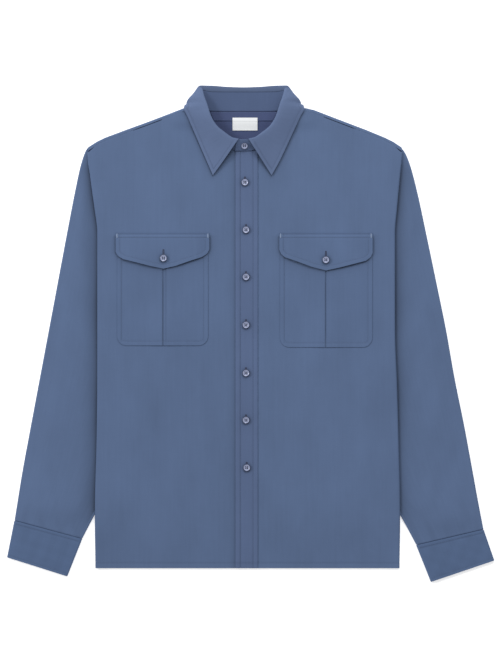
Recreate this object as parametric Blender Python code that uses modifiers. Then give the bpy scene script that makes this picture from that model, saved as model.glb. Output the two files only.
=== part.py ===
"""A long-sleeved button-through shirt with two flap pockets, laid flat on its back.

The collar points to +Y, the image's right is +X, and the cloth rests on z = 0.
Sizes are in millimetres here and become metres when a mesh is made.
Left and right in the names of pieces are the wearer's; low and high x are said as such.
"""

import math
from collections import namedtuple

import bmesh
import bpy
from mathutils import Matrix, Vector

MM = 0.001

# Cloth
WALL = 1.0
COLLAR_WALL = 1.2
GAP = 0.3

# Lengths of the body
HEM_Y = -374.5
SHOULDER_SEAM_DROP = 6.0
YOKE_SEAM_Y = 232.0

# Depths of the layers
SLEEVE_THICK = 4.6
CUFF_THICK = 5.2
TUCK_LIFT = SLEEVE_THICK + GAP
TUCK_MARGIN = 7.0
TUCK_SLOPE = 70.0
HOLLOW_MIDDLE = 3.4
HOLLOW_SIDE = 1.8
HEM_HOLLOW_SHARE = 0.4
HEM_HOLLOW_REACH = 70.0
SIDE_ROLL = 2.2
SIDE_GAP = 0.4
SIDE_TOP_Y = 290.0
TUCK_LEAST = 10.0
BACK_LAST_STEP = 12.0
MIDDLE_FLAT = 24.0
MIDDLE_FADE = 30.0
SHOULDER_FLAT_FROM_Y = 225.0
SHOULDER_FADE = 60.0
ROW_SHARES = (0.0, 0.03, 0.08, 0.15, 0.23, 0.32, 0.42, 0.52, 0.59, 0.66, 0.72, 0.78, 0.85, 0.91, 0.96, 1.0)

# The yoke turns over the shoulder in the last stretch below its fold
YOKE_TURN_FROM = 8.0
YOKE_TURN_AT = 3.0
YOKE_EDGE_RUN = 5.0

# The neck end of the yoke rides over the turned-down back of the collar
NECK_X = -11.4
NECK_LIFT = 2.9
NECK_LIFT_FROM_Y = 322.0
NECK_LIFT_TO_Y = 342.0
NECK_LIFT_HALF_WIDTH = 100.0
NECK_LIFT_FADE = 28.0

# Front band and the overlap of the fronts
PLACKET_LOW_X = -24.0
PLACKET_HIGH_X = 11.2
PLACKET_TOP_Y = 290.0
PLACKET_WALL = 1.4
FRONT_RIGHT_END_X = 3.4
FRONT_LEFT_START_X = 4.0
FRONT_RIGHT_NECK_Y = 291.8
FRONT_LEFT_NECK_Y = 293.6
NECK_STEP = 5.0

# Buttons
BUTTON_ACROSS = 11.2
BUTTON_THICK = 2.6
BUTTON_DISH = 0.7
BUTTON_SIDES = 18

# Collar
STAND_OVERLAP = 1.9
FALL_ABOVE_STAND = 1.2

Sides = namedtuple("Sides", "y low high")
Place = namedtuple("Place", "x y")
Section = namedtuple("Section", "outer inner")
Crease = namedtuple("Crease", "x y length width rise turn")
YokeTop = namedtuple("YokeTop", "x y folded")
Stand = namedtuple("Stand", "foot seam over")
Fall = namedtuple("Fall", "seam roll crown edge over shift")
Pocket = namedtuple("Pocket", "name low high top bottom corner pleat_low pleat_high")
Button = namedtuple("Button", "name x y carrier")

# The folded side edges of the body, hem to shoulder
BODY_EDGE = (
    Sides(-375.0, -248.2, 238.1),
    Sides(-285.0, -249.0, 239.0),
    Sides(-160.0, -246.2, 236.3),
    Sides(-82.0, -245.4, 234.2),
    Sides(-2.0, -245.3, 231.2),
    Sides(53.0, -245.3, 231.0),
    Sides(160.0, -245.3, 231.0),
    Sides(202.0, -250.1, 234.4),
    Sides(229.0, -253.8, 236.8),
    Sides(254.0, -257.0, 239.2),
    Sides(274.0, -260.2, 241.3),
    Sides(300.0, -261.6, 243.4),
)

# The inner edge of each sleeve where it lies behind the body
TUCK_EDGE = (
    Sides(-345.0, -298.0, 284.0),
    Sides(-290.0, -249.0, 238.2),
    Sides(-247.0, -225.0, 208.6),
    Sides(-180.0, -199.4, 183.0),
    Sides(-110.0, -180.2, 163.8),
    Sides(-51.0, -167.4, 151.0),
    Sides(-18.0, -163.0, 146.6),
    Sides(20.0, -175.0, 158.6),
    Sides(44.0, -192.0, 175.6),
    Sides(62.0, -199.0, 182.6),
    Sides(80.0, -203.0, 186.6),
    Sides(293.0, -264.0, 246.0),
)

# The front neckline on the low-x half, from the neck point to the centre
FRONT_NECKLINE = (
    Place(-92.0, 358.0),
    Place(-88.0, 352.0),
    Place(-82.0, 338.0),
    Place(-69.0, 321.0),
    Place(-48.0, 304.8),
    Place(-25.0, 293.4),
    Place(-11.4, 291.8),
)

# Where the yoke ends at the top: at the shoulder fold, or at the back neckline
YOKE_TOP = (
    YokeTop(-260.0, 297.0, 1.0),
    YokeTop(-245.8, 306.1, 1.0),
    YokeTop(-233.0, 312.5, 1.0),
    YokeTop(-199.4, 325.3, 1.0),
    YokeTop(-164.2, 338.1, 1.0),
    YokeTop(-130.6, 350.9, 1.0),
    YokeTop(-106.6, 359.9, 1.0),
    YokeTop(-96.0, 363.4, 1.0),
    YokeTop(-86.0, 361.0, 0.0),
    YokeTop(-74.0, 359.2, 0.0),
    YokeTop(-58.0, 356.6, 0.0),
    YokeTop(-11.4, 356.4, 0.0),
    YokeTop(35.2, 356.6, 0.0),
    YokeTop(51.2, 359.2, 0.0),
    YokeTop(63.2, 361.0, 0.0),
    YokeTop(73.2, 363.4, 1.0),
    YokeTop(84.0, 360.6, 1.0),
    YokeTop(101.4, 357.0, 1.0),
    YokeTop(117.4, 350.9, 1.0),
    YokeTop(151.0, 338.1, 1.0),
    YokeTop(184.6, 325.3, 1.0),
    YokeTop(215.0, 312.5, 1.0),
    YokeTop(227.8, 306.1, 1.0),
    YokeTop(241.6, 296.8, 1.0),
)

# Sleeve sections from the armhole to the cuff seam
SLEEVE_LOW = (
    Section(Place(-263.2, 293.3), Place(-203.0, 79.0)),
    Section(Place(-271.4, 269.3), Place(-200.0, 62.0)),
    Section(Place(-280.2, 229.3), Place(-194.0, 44.0)),
    Section(Place(-293.8, 158.9), Place(-176.0, 20.0)),
    Section(Place(-308.2, 82.1), Place(-164.0, -18.0)),
    Section(Place(-322.6, 5.3), Place(-167.4, -58.0)),
    Section(Place(-337.0, -71.5), Place(-180.2, -109.9)),
    Section(Place(-351.4, -148.3), Place(-199.4, -180.3)),
    Section(Place(-365.0, -221.9), Place(-225.0, -247.5)),
    Section(Place(-373.0, -271.5), Place(-249.0, -289.6)),
    Section(Place(-377.4, -299.0), Place(-269.3, -328.2)),
)
SLEEVE_HIGH = (
    Section(Place(245.4, 290.9), Place(186.6, 79.0)),
    Section(Place(253.4, 270.9), Place(183.6, 62.0)),
    Section(Place(264.6, 229.3), Place(177.6, 44.0)),
    Section(Place(279.8, 158.9), Place(159.6, 20.0)),
    Section(Place(295.8, 82.1), Place(147.6, -18.0)),
    Section(Place(311.5, 5.3), Place(151.0, -58.0)),
    Section(Place(325.1, -71.5), Place(163.8, -109.9)),
    Section(Place(340.6, -148.3), Place(183.0, -180.3)),
    Section(Place(354.2, -221.9), Place(208.6, -247.5)),
    Section(Place(364.3, -271.5), Place(238.2, -289.6)),
    Section(Place(372.3, -313.1), Place(265.0, -338.1)),
)

# Cuff sections from the sleeve seam to the wrist edge
CUFF_LOW = (
    Section(Place(-377.8, -299.5), Place(-269.3, -328.8)),
    Section(Place(-383.6, -328.8), Place(-281.2, -358.7)),
    Section(Place(-389.4, -358.2), Place(-293.1, -388.6)),
)
CUFF_HIGH = (
    Section(Place(372.7, -313.7), Place(264.8, -338.9)),
    Section(Place(381.2, -338.5), Place(276.5, -368.1)),
    Section(Place(389.8, -363.2), Place(288.3, -397.6)),
)

# The largest soft folds of the fronts, as ridges above the flat cloth
CREASES = (
    Crease(-196.0, -200.0, 300.0, 30.0, 1.3, 2.0),
    Crease(-118.0, -230.0, 240.0, 22.0, 1.1, -6.0),
    Crease(-150.0, 232.0, 120.0, 26.0, 0.9, 24.0),
    Crease(60.0, -200.0, 260.0, 24.0, 1.0, -3.0),
    Crease(128.0, -200.0, 280.0, 30.0, 1.2, 4.0),
    Crease(186.0, -220.0, 260.0, 26.0, 1.3, -2.0),
    Crease(130.0, 232.0, 120.0, 26.0, 0.9, -24.0),
)

# Low-x half of the collar stand, from the centre front round to the centre back
STAND = (
    Stand((2.2, 291.6, 6.3), (-0.6, 309.6, 16.2), 1.0),
    Stand((-22.0, 292.2, 6.3), (-20.8, 309.4, 16.2), 1.0),
    Stand((-45.8, 304.2, 6.5), (-39.4, 319.0, 17.6), 0.7),
    Stand((-66.6, 320.2, 6.9), (-54.0, 331.5, 19.0), 0.3),
    Stand((-79.4, 338.0, 8.0), (-63.2, 346.5, 20.0), 0.0),
    Stand((-85.4, 351.5, 8.4), (-68.6, 361.6, 19.4), 0.0),
    Stand((-85.4, 359.4, 8.4), (-72.6, 373.4, 17.0), 0.0),
    Stand((-75.0, 358.4, 6.6), (-73.6, 382.0, 13.0), 0.0),
    Stand((-60.0, 355.4, 5.2), (-62.8, 386.0, 9.0), 0.0),
    Stand((-36.0, 355.2, 5.0), (-36.0, 386.2, 7.8), 0.0),
    Stand((-11.4, 355.2, 5.0), (-11.4, 386.2, 7.6), 0.0),
)

# Low-x half of the collar fall: it leaves the stand, rolls over and lies on the shoulder
FALL = (
    Fall((-19.6, 309.8, 17.2), (-18.0, 312.6, 24.5), (-33.0, 289.0, 14.0), (-60.2, 252.6, 7.4), 1.0, -2.0),
    Fall((-28.4, 311.0, 17.2), (-27.4, 316.0, 24.5), (-43.0, 300.0, 15.0), (-69.2, 273.2, 7.2), 0.9, -1.2),
    Fall((-40.4, 319.4, 17.8), (-41.4, 323.0, 25.0), (-57.0, 310.0, 16.0), (-80.4, 299.2, 7.4), 0.7, 0.0),
    Fall((-54.4, 331.2, 19.0), (-54.6, 334.0, 26.0), (-70.0, 325.0, 17.0), (-91.4, 324.8, 8.2), 0.3, 0.8),
    Fall((-63.4, 346.2, 20.0), (-61.8, 347.0, 27.0), (-80.0, 342.0, 18.0), (-100.4, 345.8, 9.4), 0.0, 1.4),
    Fall((-68.6, 361.6, 19.4), (-66.6, 363.0, 26.0), (-87.0, 361.0, 19.0), (-106.4, 358.6, 10.0), 0.0, 1.8),
    Fall((-70.6, 368.0, 18.4), (-69.0, 370.0, 25.0), (-91.0, 371.0, 18.0), (-104.6, 364.6, 5.6), 0.0, 1.4),
    Fall((-72.8, 374.4, 17.0), (-71.4, 378.0, 23.5), (-101.0, 381.0, 12.0), (-99.6, 366.0, 1.2), 0.0, 0.8),
    Fall((-74.6, 380.4, 14.4), (-76.0, 386.0, 21.0), (-102.0, 393.0, 1.6), (-92.0, 352.0, 0.7), 0.0, 0.4),
    Fall((-73.4, 384.0, 12.0), (-80.0, 398.0, 17.0), (-92.0, 404.0, 1.0), (-76.0, 348.0, 0.7), 0.0, 0.0),
    Fall((-62.6, 387.0, 9.2), (-64.0, 400.0, 13.0), (-68.0, 405.0, 0.1), (-60.0, 347.0, 0.7), 0.0, 0.0),
    Fall((-36.0, 387.0, 8.0), (-36.0, 397.0, 11.4), (-36.0, 403.0, 0.1), (-36.0, 347.0, 0.7), 0.0, 0.0),
    Fall((-11.4, 387.0, 7.8), (-11.4, 396.0, 11.2), (-11.4, 402.0, 0.1), (-11.4, 347.0, 0.7), 0.0, 0.0),
)
FALL_STEPS = (0.0, 0.08, 0.17, 0.28, 0.42, 0.56, 0.7, 0.82, 0.91, 1.0)

POCKETS = (
    Pocket("right", -213.1, -68.2, 149.0, -19.5, 15.0, -141.0, -134.6),
    Pocket("left", 47.0, 194.2, 149.0, -22.2, 15.0, 118.9, 121.3),
)
POCKET_GAP = 0.5
PLEAT_RISE = 1.5
PLEAT_REACH = 34.0
PLEAT_CREASE = 0.5
PLEAT_SEWN_REACH = 26.0
PLEAT_SEWN_SHARE = 0.35

# Lower edge of each pocket flap
FLAP_TOP_Y = 160.3
FLAP_OVER_Y = 150.5
FLAP_WALL = 1.2
FLAP_FRONT_RISE = 1.0
FLAP_FRONT_REACH = 60.0
FLAP_SIDE_REACH = 20.0
FLAP_SIDE_SHARE = 0.25
FLAP_SEAM = 2.0
FLAP_RIGHT_EDGE = (
    Place(-215.6, 130.0),
    Place(-212.0, 123.6),
    Place(-203.0, 118.2),
    Place(-180.0, 112.6),
    Place(-160.0, 107.4),
    Place(-139.4, 103.2),
    Place(-120.0, 107.6),
    Place(-98.0, 115.4),
    Place(-78.0, 121.8),
    Place(-69.4, 127.2),
    Place(-66.0, 134.0),
)
FLAP_LEFT_EDGE = (
    Place(45.8, 133.6),
    Place(48.6, 126.8),
    Place(54.6, 121.6),
    Place(76.0, 114.2),
    Place(98.0, 106.0),
    Place(120.6, 100.3),
    Place(142.0, 105.0),
    Place(164.0, 110.6),
    Place(184.0, 115.8),
    Place(191.8, 121.4),
    Place(194.8, 128.4),
)

BUTTONS = (
    Button("button_front_1", -9.1, 241.3, "placket"),
    Button("button_front_2", -7.4, 165.3, "placket"),
    Button("button_front_3", -7.4, 90.1, "placket"),
    Button("button_front_4", -7.4, 13.3, "placket"),
    Button("button_front_5", -7.4, -63.5, "placket"),
    Button("button_front_6", -7.4, -138.7, "placket"),
    Button("button_front_7", -6.2, -214.7, "placket"),
    Button("button_flap_right", -139.2, 120.0, "flap"),
    Button("button_flap_left", 120.2, 117.3, "flap"),
)
COLLAR_BUTTON = Place(-9.8, 300.6)

# Neck facing and label
FACING_TOP = (-65.0, 44.0)
FACING_BOTTOM = (-59.0, 36.0)
FACING_Y = (339.7, 354.3)
LABEL_X = (-29.8, 10.2)
LABEL_Y = (323.8, 345.3)
LABEL_WALL = 0.6
LABEL_RISE = 0.6
LABEL_RISE_TOP = 1.0
LABEL_RISE_REACH = 14.0

# Colours, as linear values of the cloth, the buttons and the label
CLOTH = (0.090, 0.138, 0.246)
CLOTH_INSIDE = (0.066, 0.092, 0.158)
BUTTON_BLUE = (0.078, 0.086, 0.170)
LABEL_WHITE = (0.80, 0.82, 0.83)


def clamp(value):
    return min(max(value, 0.0), 1.0)


def ease(value):
    t = clamp(value)
    return t * t * (3.0 - 2.0 * t)


def mix(a, b, t):
    return a + (b - a) * t


def follow(xs, ys, at):
    """The value at a place on a smooth curve through the points (xs rising)."""
    if at <= xs[0]:
        return ys[0]
    if at >= xs[-1]:
        return ys[-1]
    i = max(k for k in range(len(xs) - 1) if xs[k] <= at)
    span = xs[i + 1] - xs[i]
    slopes = [(ys[k + 1] - ys[k]) / (xs[k + 1] - xs[k]) for k in range(len(xs) - 1)]

    def tangent(k):
        if k in (0, len(xs) - 1):
            return slopes[min(k, len(slopes) - 1)]
        before, after = slopes[k - 1], slopes[k]
        return 0.0 if before * after <= 0.0 else 2.0 * before * after / (before + after)

    t = (at - xs[i]) / span
    start, end = tangent(i) * span, tangent(i + 1) * span
    return (
        (2 * t**3 - 3 * t**2 + 1) * ys[i]
        + (t**3 - 2 * t**2 + t) * start
        + (3 * t**2 - 2 * t**3) * ys[i + 1]
        + (t**3 - t**2) * end
    )


def side_at(rows, y, side):
    return follow([r.y for r in rows], [getattr(r, side) for r in rows], y)


def shoulder_y(x):
    """The fold along the shoulders, straight between the yoke's own points."""
    for a, b in zip(YOKE_TOP, YOKE_TOP[1:]):
        if x <= b.x:
            return mix(a.y, b.y, (x - a.x) / (b.x - a.x))
    return YOKE_TOP[-1].y


def tuck_at(x, y):
    """How far the sleeves behind it raise the back, from 0 to 1."""
    low = (side_at(TUCK_EDGE, y, "low") + TUCK_MARGIN - x) / TUCK_SLOPE + 1.0
    high = (x - side_at(TUCK_EDGE, y, "high") + TUCK_MARGIN) / TUCK_SLOPE + 1.0
    return max(ease(low), ease(high))


def neck_at(x, y):
    """How far the back of the collar raises the cloth at the neck, from 0 to 1."""
    up = ease((y - NECK_LIFT_FROM_Y) / (NECK_LIFT_TO_Y - NECK_LIFT_FROM_Y))
    aside = (abs(x - NECK_X) - NECK_LIFT_HALF_WIDTH) / NECK_LIFT_FADE
    return up * (1.0 - ease(aside))


def lift_at(x, y):
    return max(TUCK_LIFT * tuck_at(x, y), NECK_LIFT * neck_at(x, y))


def crease_at(x, y):
    total = 0.0
    for crease in CREASES:
        turn = math.radians(crease.turn)
        across = (x - crease.x) * math.cos(turn) + (y - crease.y) * math.sin(turn)
        along = (y - crease.y) * math.cos(turn) - (x - crease.x) * math.sin(turn)
        reach = 1.0 - ease(abs(along) / (crease.length / 2.0))
        total += crease.rise * reach * math.exp(-((across / crease.width) ** 2))
    return total


def hollow_at(x, y):
    """The space between the back and a front."""
    middle = mix(HOLLOW_MIDDLE, HOLLOW_SIDE, tuck_at(x, y))
    return middle * mix(HEM_HOLLOW_SHARE, 1.0, ease((y - HEM_Y) / HEM_HOLLOW_REACH))


def back_top(x, y):
    return lift_at(x, y) + WALL


def front_under(x, y):
    centre = ease((abs(x - NECK_X) - MIDDLE_FLAT) / MIDDLE_FADE)
    return back_top(x, y) + hollow_at(x, y) + crease_at(x, y) * centre * shoulder_fade(y)


def shoulder_fade(y):
    return 1.0 - ease((y - SHOULDER_FLAT_FROM_Y) / SHOULDER_FADE)


def front_top(x, y):
    return front_under(x, y) + WALL


def material(name, colour, roughness):
    made = bpy.data.materials.new(name)
    made.use_nodes = True
    shader = made.node_tree.nodes["Principled BSDF"]
    shader.inputs["Base Color"].default_value = (*colour, 1.0)
    shader.inputs["Roughness"].default_value = roughness
    shader.inputs["Metallic"].default_value = 0.0
    made.diffuse_color = (*colour, 1.0)
    return made


def add_object(name, mesh, colour, roughness, group):
    mesh.materials.append(material(name + "_finish", colour, roughness))
    mesh.shade_smooth()
    mesh.set_sharp_from_angle(angle=math.radians(40.0))
    made = bpy.data.objects.new(name, mesh)
    group.objects.link(made)
    return made


def cloth(name, rows, wall, group, grows=1.0, colour=CLOTH):
    """An open sheet through rows of points, thickened by Solidify.

    The wall grows to the side that its faces point to (grows 1), to the other (-1) or both (0).
    """
    count = len(rows[0])
    points = [Vector(p) * MM for row in rows for p in row]
    faces = []
    for i in range(len(rows) - 1):
        for j in range(count - 1):
            a = i * count + j
            faces.append((a, a + 1, a + count + 1, a + count))
    mesh = bpy.data.meshes.new(name)
    mesh.from_pydata(points, [], faces)
    made = add_object(name, mesh, colour, 0.85, group)
    thick = made.modifiers.new("wall", "SOLIDIFY")
    thick.thickness = wall * MM
    thick.offset = grows
    thick.use_even_offset = True
    thick.use_quality_normals = True
    return made


def tube(name, sections, thick, wall, group):
    """A flattened tube whose sections run from its outer edge to its inner edge."""
    radius = thick / 2.0
    arc = [math.radians(a) for a in (90, 120, 150, 180, 210, 240, 270)]
    spread = (0.12, 0.35, 0.65, 0.88)

    def ring(section, inset):
        outer = Vector((section.outer.x, section.outer.y, 0.0))
        inner = Vector((section.inner.x, section.inner.y, 0.0))
        along = (inner - outer).normalized()
        start = outer + along * radius
        end = inner - along * radius
        r = radius - inset
        centre = Vector((0.0, 0.0, radius))
        up = Vector((0.0, 0.0, r))
        points = [start + centre + along * math.cos(a) * r + up * math.sin(a) for a in arc]
        points += [start.lerp(end, s) + centre - up for s in spread]
        points += [end + centre - along * math.cos(a) * r - up * math.sin(a) for a in arc]
        points += [end.lerp(start, s) + centre + up for s in spread]
        return points

    rings = [(ring(s, 0.0), ring(s, wall)) for s in sections]
    count = len(rings[0][0])
    points = [p * MM for outside, inside in rings for p in outside + inside]
    faces = []
    for i in range(len(rings) - 1):
        here, there = 2 * i * count, 2 * (i + 1) * count
        for j in range(count):
            k = (j + 1) % count
            faces.append((here + j, here + k, there + k, there + j))
            faces.append((here + count + j, there + count + j, there + count + k, here + count + k))
    last = 2 * (len(rings) - 1) * count
    for j in range(count):
        k = (j + 1) % count
        faces.append((j, count + j, count + k, k))
        faces.append((last + j, last + k, last + count + k, last + count + j))
    mesh = bpy.data.meshes.new(name)
    mesh.from_pydata(points, [], faces)
    bm = bmesh.new()
    bm.from_mesh(mesh)
    bmesh.ops.recalc_face_normals(bm, faces=bm.faces)
    bm.to_mesh(mesh)
    bm.free()
    return add_object(name, mesh, CLOTH, 0.85, group)


def back(group):
    heights = [mix(HEM_Y, SIDE_TOP_Y, share) for share in ROW_SHARES]
    heights = [y for y in heights if y < YOKE_SEAM_Y - BACK_LAST_STEP] + [YOKE_SEAM_Y - GAP]
    rows = []
    for y in heights:
        low = side_at(BODY_EDGE, y, "low") + GAP
        high = side_at(BODY_EDGE, y, "high") - GAP
        low_tuck = max(side_at(TUCK_EDGE, y, "low"), low + TUCK_LEAST) + TUCK_MARGIN
        high_tuck = min(side_at(TUCK_EDGE, y, "high"), high - TUCK_LEAST) - TUCK_MARGIN
        ramp = [TUCK_SLOPE * s for s in (0.0, 0.2, 0.4, 0.6, 0.8, 1.0)]
        xs = [low, mix(low, low_tuck, 0.5)] + [low_tuck + r for r in ramp]
        xs += [high_tuck - r for r in reversed(ramp)] + [mix(high_tuck, high, 0.5), high]
        rows.append([(x, y, lift_at(x, y)) for x in xs])
    return cloth("back", rows, WALL, group)


def yoke(group):
    """From the back seam up to the shoulder fold, over it and down to the front seam."""
    rises = (0.0, 0.35, 0.7)
    turns = [math.radians(a) for a in (-90.0, -45.0, 0.0, 45.0, 90.0)]
    columns = []
    for top in YOKE_TOP:
        column = []
        near = top.y - YOKE_TURN_AT
        deep = 2.0 * WALL + hollow_at(top.x, near)
        radius = deep / 2.0
        for rise in rises:
            y = mix(YOKE_SEAM_Y, top.y - YOKE_TURN_FROM, rise)
            low = side_at(BODY_EDGE, y, "low") + GAP
            high = side_at(BODY_EDGE, y, "high") - GAP
            x = min(max(top.x, low), high)
            column.append((x, y, lift_at(x, y)))
        base = lift_at(top.x, near)
        for k, turn in enumerate(turns):
            folded = (top.y - radius + radius * math.cos(turn), base + radius + radius * math.sin(turn))
            plain = (top.y - YOKE_EDGE_RUN + k, base)
            y, z = (mix(plain[i], folded[i], top.folded) for i in (0, 1))
            column.append((top.x, y, z))
        seam_y = mix(top.y, top.y - SHOULDER_SEAM_DROP + GAP, top.folded)
        seam_z = mix(base, front_top(top.x, seam_y), top.folded)
        column.append((top.x, seam_y, seam_z))
        columns.append(column)
    rows = [[column[i] for column in columns] for i in range(len(columns[0]))]
    return cloth("yoke", rows, WALL, group, grows=1.0, colour=CLOTH_INSIDE)


def yoke_top(x, y):
    return lift_at(x, y) + WALL


def front_panel(name, centre_x, side, tops, group):
    """tops: (share of the way from the centre to the side, top y) for each column."""
    sign = -1.0 if side == "low" else 1.0
    top_start = side_at(BODY_EDGE, SIDE_TOP_Y, side) - sign * (WALL + SIDE_ROLL)
    rows = []
    for t in ROW_SHARES:
        row = []
        side_y = mix(HEM_Y, SIDE_TOP_Y, t)
        edge = side_at(BODY_EDGE, side_y, side)
        start = edge - sign * (WALL + SIDE_ROLL)
        for top in tops:
            share = (top.x - centre_x) / (top_start - centre_x)
            y = mix(HEM_Y, top.y, t)
            x = mix(centre_x, start, share)
            row.append((x, y, front_under(x, y)))
        foot = max(back_top(start, side_y), back_top(edge, side_y)) + SIDE_GAP
        drop = front_under(start, side_y) - foot
        for turn in (math.radians(a) for a in (32.0, 62.0, 90.0)):
            x = start + sign * SIDE_ROLL * math.sin(turn)
            row.append((x, side_y, foot + drop * math.cos(turn)))
        rows.append(row)
    if side == "low":
        rows = [row[::-1] for row in rows]
    return cloth(name, rows, WALL, group)


def shoulder_columns(xs):
    return [Place(x, shoulder_y(x) - SHOULDER_SEAM_DROP - GAP) for x in xs]


def front_right(group):
    top_x = side_at(BODY_EDGE, SIDE_TOP_Y, "low") + WALL + SIDE_ROLL
    neck = [Place(FRONT_RIGHT_END_X, FRONT_RIGHT_NECK_Y)]
    neck += reversed(FRONT_NECKLINE)
    shoulder = shoulder_columns((-112.0, -130.6, -148.0, -164.2, -182.0, -199.4, -216.0, -233.0, -245.8))
    corner = [Place(top_x, SIDE_TOP_Y)]
    return front_panel("front_right", FRONT_RIGHT_END_X, "low", neck + shoulder + corner, group)


def front_left(group):
    top_x = side_at(BODY_EDGE, SIDE_TOP_Y, "high") - WALL - SIDE_ROLL
    mirrored = [Place(2.0 * NECK_X - p.x, p.y) for p in reversed(FRONT_NECKLINE)]
    neck = [Place(FRONT_LEFT_START_X, FRONT_LEFT_NECK_Y)]
    neck += [p for p in mirrored if p.x > FRONT_LEFT_START_X + NECK_STEP]
    shoulder = shoulder_columns((84.0, 101.4, 117.4, 134.0, 151.0, 168.0, 184.6, 200.0, 215.0, 227.8))
    corner = [Place(top_x, SIDE_TOP_Y)]
    return front_panel("front_left", FRONT_LEFT_START_X, "high", neck + shoulder + corner, group)


def placket_under(x, y):
    return front_top(x, y) + GAP


def placket(group):
    count = 16
    rows = []
    for i in range(count + 1):
        y = mix(HEM_Y, PLACKET_TOP_Y, i / count)
        xs = [mix(PLACKET_LOW_X, PLACKET_HIGH_X, s) for s in (0.0, 0.25, 0.5, 0.75, 1.0)]
        rows.append([(x, y, placket_under(x, y)) for x in xs])
    return cloth("placket", rows, PLACKET_WALL, group)


def pocket_bottom(pocket, x):
    """The lower edge, with its two corners rounded."""
    inside = min(x - pocket.low, pocket.high - x)
    if inside >= pocket.corner:
        return pocket.bottom
    drop = math.sqrt(max(pocket.corner**2 - (pocket.corner - inside) ** 2, 0.0))
    return pocket.bottom + pocket.corner - drop


def pocket_under(pocket, x, y):
    """The pocket lies on its front and rises towards the two folds of its pleat."""
    if x <= pocket.pleat_low:
        near = (x - pocket.pleat_low) / PLEAT_REACH + 1.0
    elif x >= pocket.pleat_high:
        near = (pocket.pleat_high - x) / PLEAT_REACH + 1.0
    else:
        near = 0.0
    sewn = ease((y - pocket.bottom) / PLEAT_SEWN_REACH)
    return front_top(x, y) + POCKET_GAP + PLEAT_RISE * ease(near) * mix(PLEAT_SEWN_SHARE, 1.0, sewn)


def patch_pocket(pocket, group):
    corner = [pocket.corner * s for s in (0.0, 0.08, 0.3, 0.62, 1.0)]
    low = [pocket.low + c for c in corner]
    high = [pocket.high - c for c in reversed(corner)]
    left_part = [mix(pocket.low + pocket.corner, pocket.pleat_low, s) for s in (0.35, 0.7, 0.88)]
    right_part = [mix(pocket.pleat_high, pocket.high - pocket.corner, s) for s in (0.12, 0.3, 0.65)]
    pleat = [
        pocket.pleat_low,
        pocket.pleat_low + PLEAT_CREASE,
        pocket.pleat_high - PLEAT_CREASE,
        pocket.pleat_high,
    ]
    rows = []
    for t in (0.0, 0.05, 0.12, 0.25, 0.45, 0.65, 0.85, 1.0):
        row = []
        for x in low + left_part + pleat + right_part + high:
            y = mix(pocket_bottom(pocket, x), pocket.top, t)
            row.append((x, y, pocket_under(pocket, x, y)))
        rows.append(row)
    return cloth("pocket_" + pocket.name, rows, WALL, group)


def flap_under(pocket, x, y):
    """Sewn to the front along its top, then over the pocket."""
    seam_y = FLAP_TOP_Y - FLAP_SEAM
    over = ease((seam_y - y) / (seam_y - FLAP_OVER_Y))
    fall = ease((FLAP_TOP_Y - y) / FLAP_FRONT_REACH)
    side = ease(min(x - pocket.low, pocket.high - x) / FLAP_SIDE_REACH)
    pleat = PLEAT_RISE * mix(FLAP_SIDE_SHARE, 1.0, side)
    return front_top(x, y) + GAP + (WALL + GAP + pleat) * over + FLAP_FRONT_RISE * fall * side


def flap(pocket, edge, group):
    rows = []
    for t in (0.0, 0.3, 0.6, 1.0, 1.33, 1.67, 2.0):
        row = []
        for place in edge:
            y = mix(place.y, FLAP_OVER_Y, min(t, 1.0)) + (FLAP_TOP_Y - FLAP_OVER_Y) * max(t - 1.0, 0.0)
            row.append((place.x, y, flap_under(pocket, place.x, y)))
        rows.append(row)
    return cloth("flap_" + pocket.name, rows, FLAP_WALL, group)


def mirrored(point, raised):
    return (2.0 * NECK_X - point[0], point[1], point[2] + raised)


def collar_stand(group):
    """A band from the low-x end under the overlap, round the back, to the high-x end on top."""
    stations = [(s.foot, s.seam) for s in STAND]
    for s in reversed(STAND[:-1]):
        raised = STAND_OVERLAP * s.over
        stations.append((mirrored(s.foot, raised), mirrored(s.seam, raised)))
    rows = []
    for t in (0.0, 0.33, 0.67, 1.0):
        rows.append([tuple(mix(foot[i], seam[i], t) for i in range(3)) for foot, seam in stations])
    return cloth("collar_stand", rows, COLLAR_WALL, group, grows=0.0)


def fall_point(seam, roll, crown, edge, t):
    weights = ((1 - t) ** 3, 3 * (1 - t) ** 2 * t, 3 * (1 - t) * t**2, t**3)
    return tuple(
        sum(w * p[i] for w, p in zip(weights, (seam, roll, crown, edge))) for i in range(3)
    )


def collar_fall(group):
    stations = []
    for s in FALL:
        up = FALL_ABOVE_STAND
        seam = (s.seam[0], s.seam[1], s.seam[2] + up)
        stations.append((seam, s.roll, s.crown, s.edge))
    for s in reversed(FALL[:-1]):
        raised = STAND_OVERLAP * s.over
        seam = mirrored(s.seam, raised + FALL_ABOVE_STAND)
        roll = mirrored(s.roll, raised)
        crown = mirrored(s.crown, 0.0)
        edge = mirrored(s.edge, 0.0)
        stations.append((seam, roll, crown, (edge[0] + s.shift, edge[1], edge[2])))
    rows = [[fall_point(*station, t) for station in stations] for t in FALL_STEPS]
    return cloth("collar_fall", rows, COLLAR_WALL, group, grows=0.0)


def neck_facing(group):
    rows = []
    for t in (0.0, 0.5, 1.0):
        y = mix(*FACING_Y, t)
        low = mix(FACING_BOTTOM[0], FACING_TOP[0], t)
        high = mix(FACING_BOTTOM[1], FACING_TOP[1], t)
        xs = [mix(low, high, s / 6.0) for s in range(7)]
        rows.append([(x, y, yoke_top(x, y) + GAP) for x in xs])
    return cloth("neck_facing", rows, WALL, group, colour=CLOTH_INSIDE)


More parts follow.
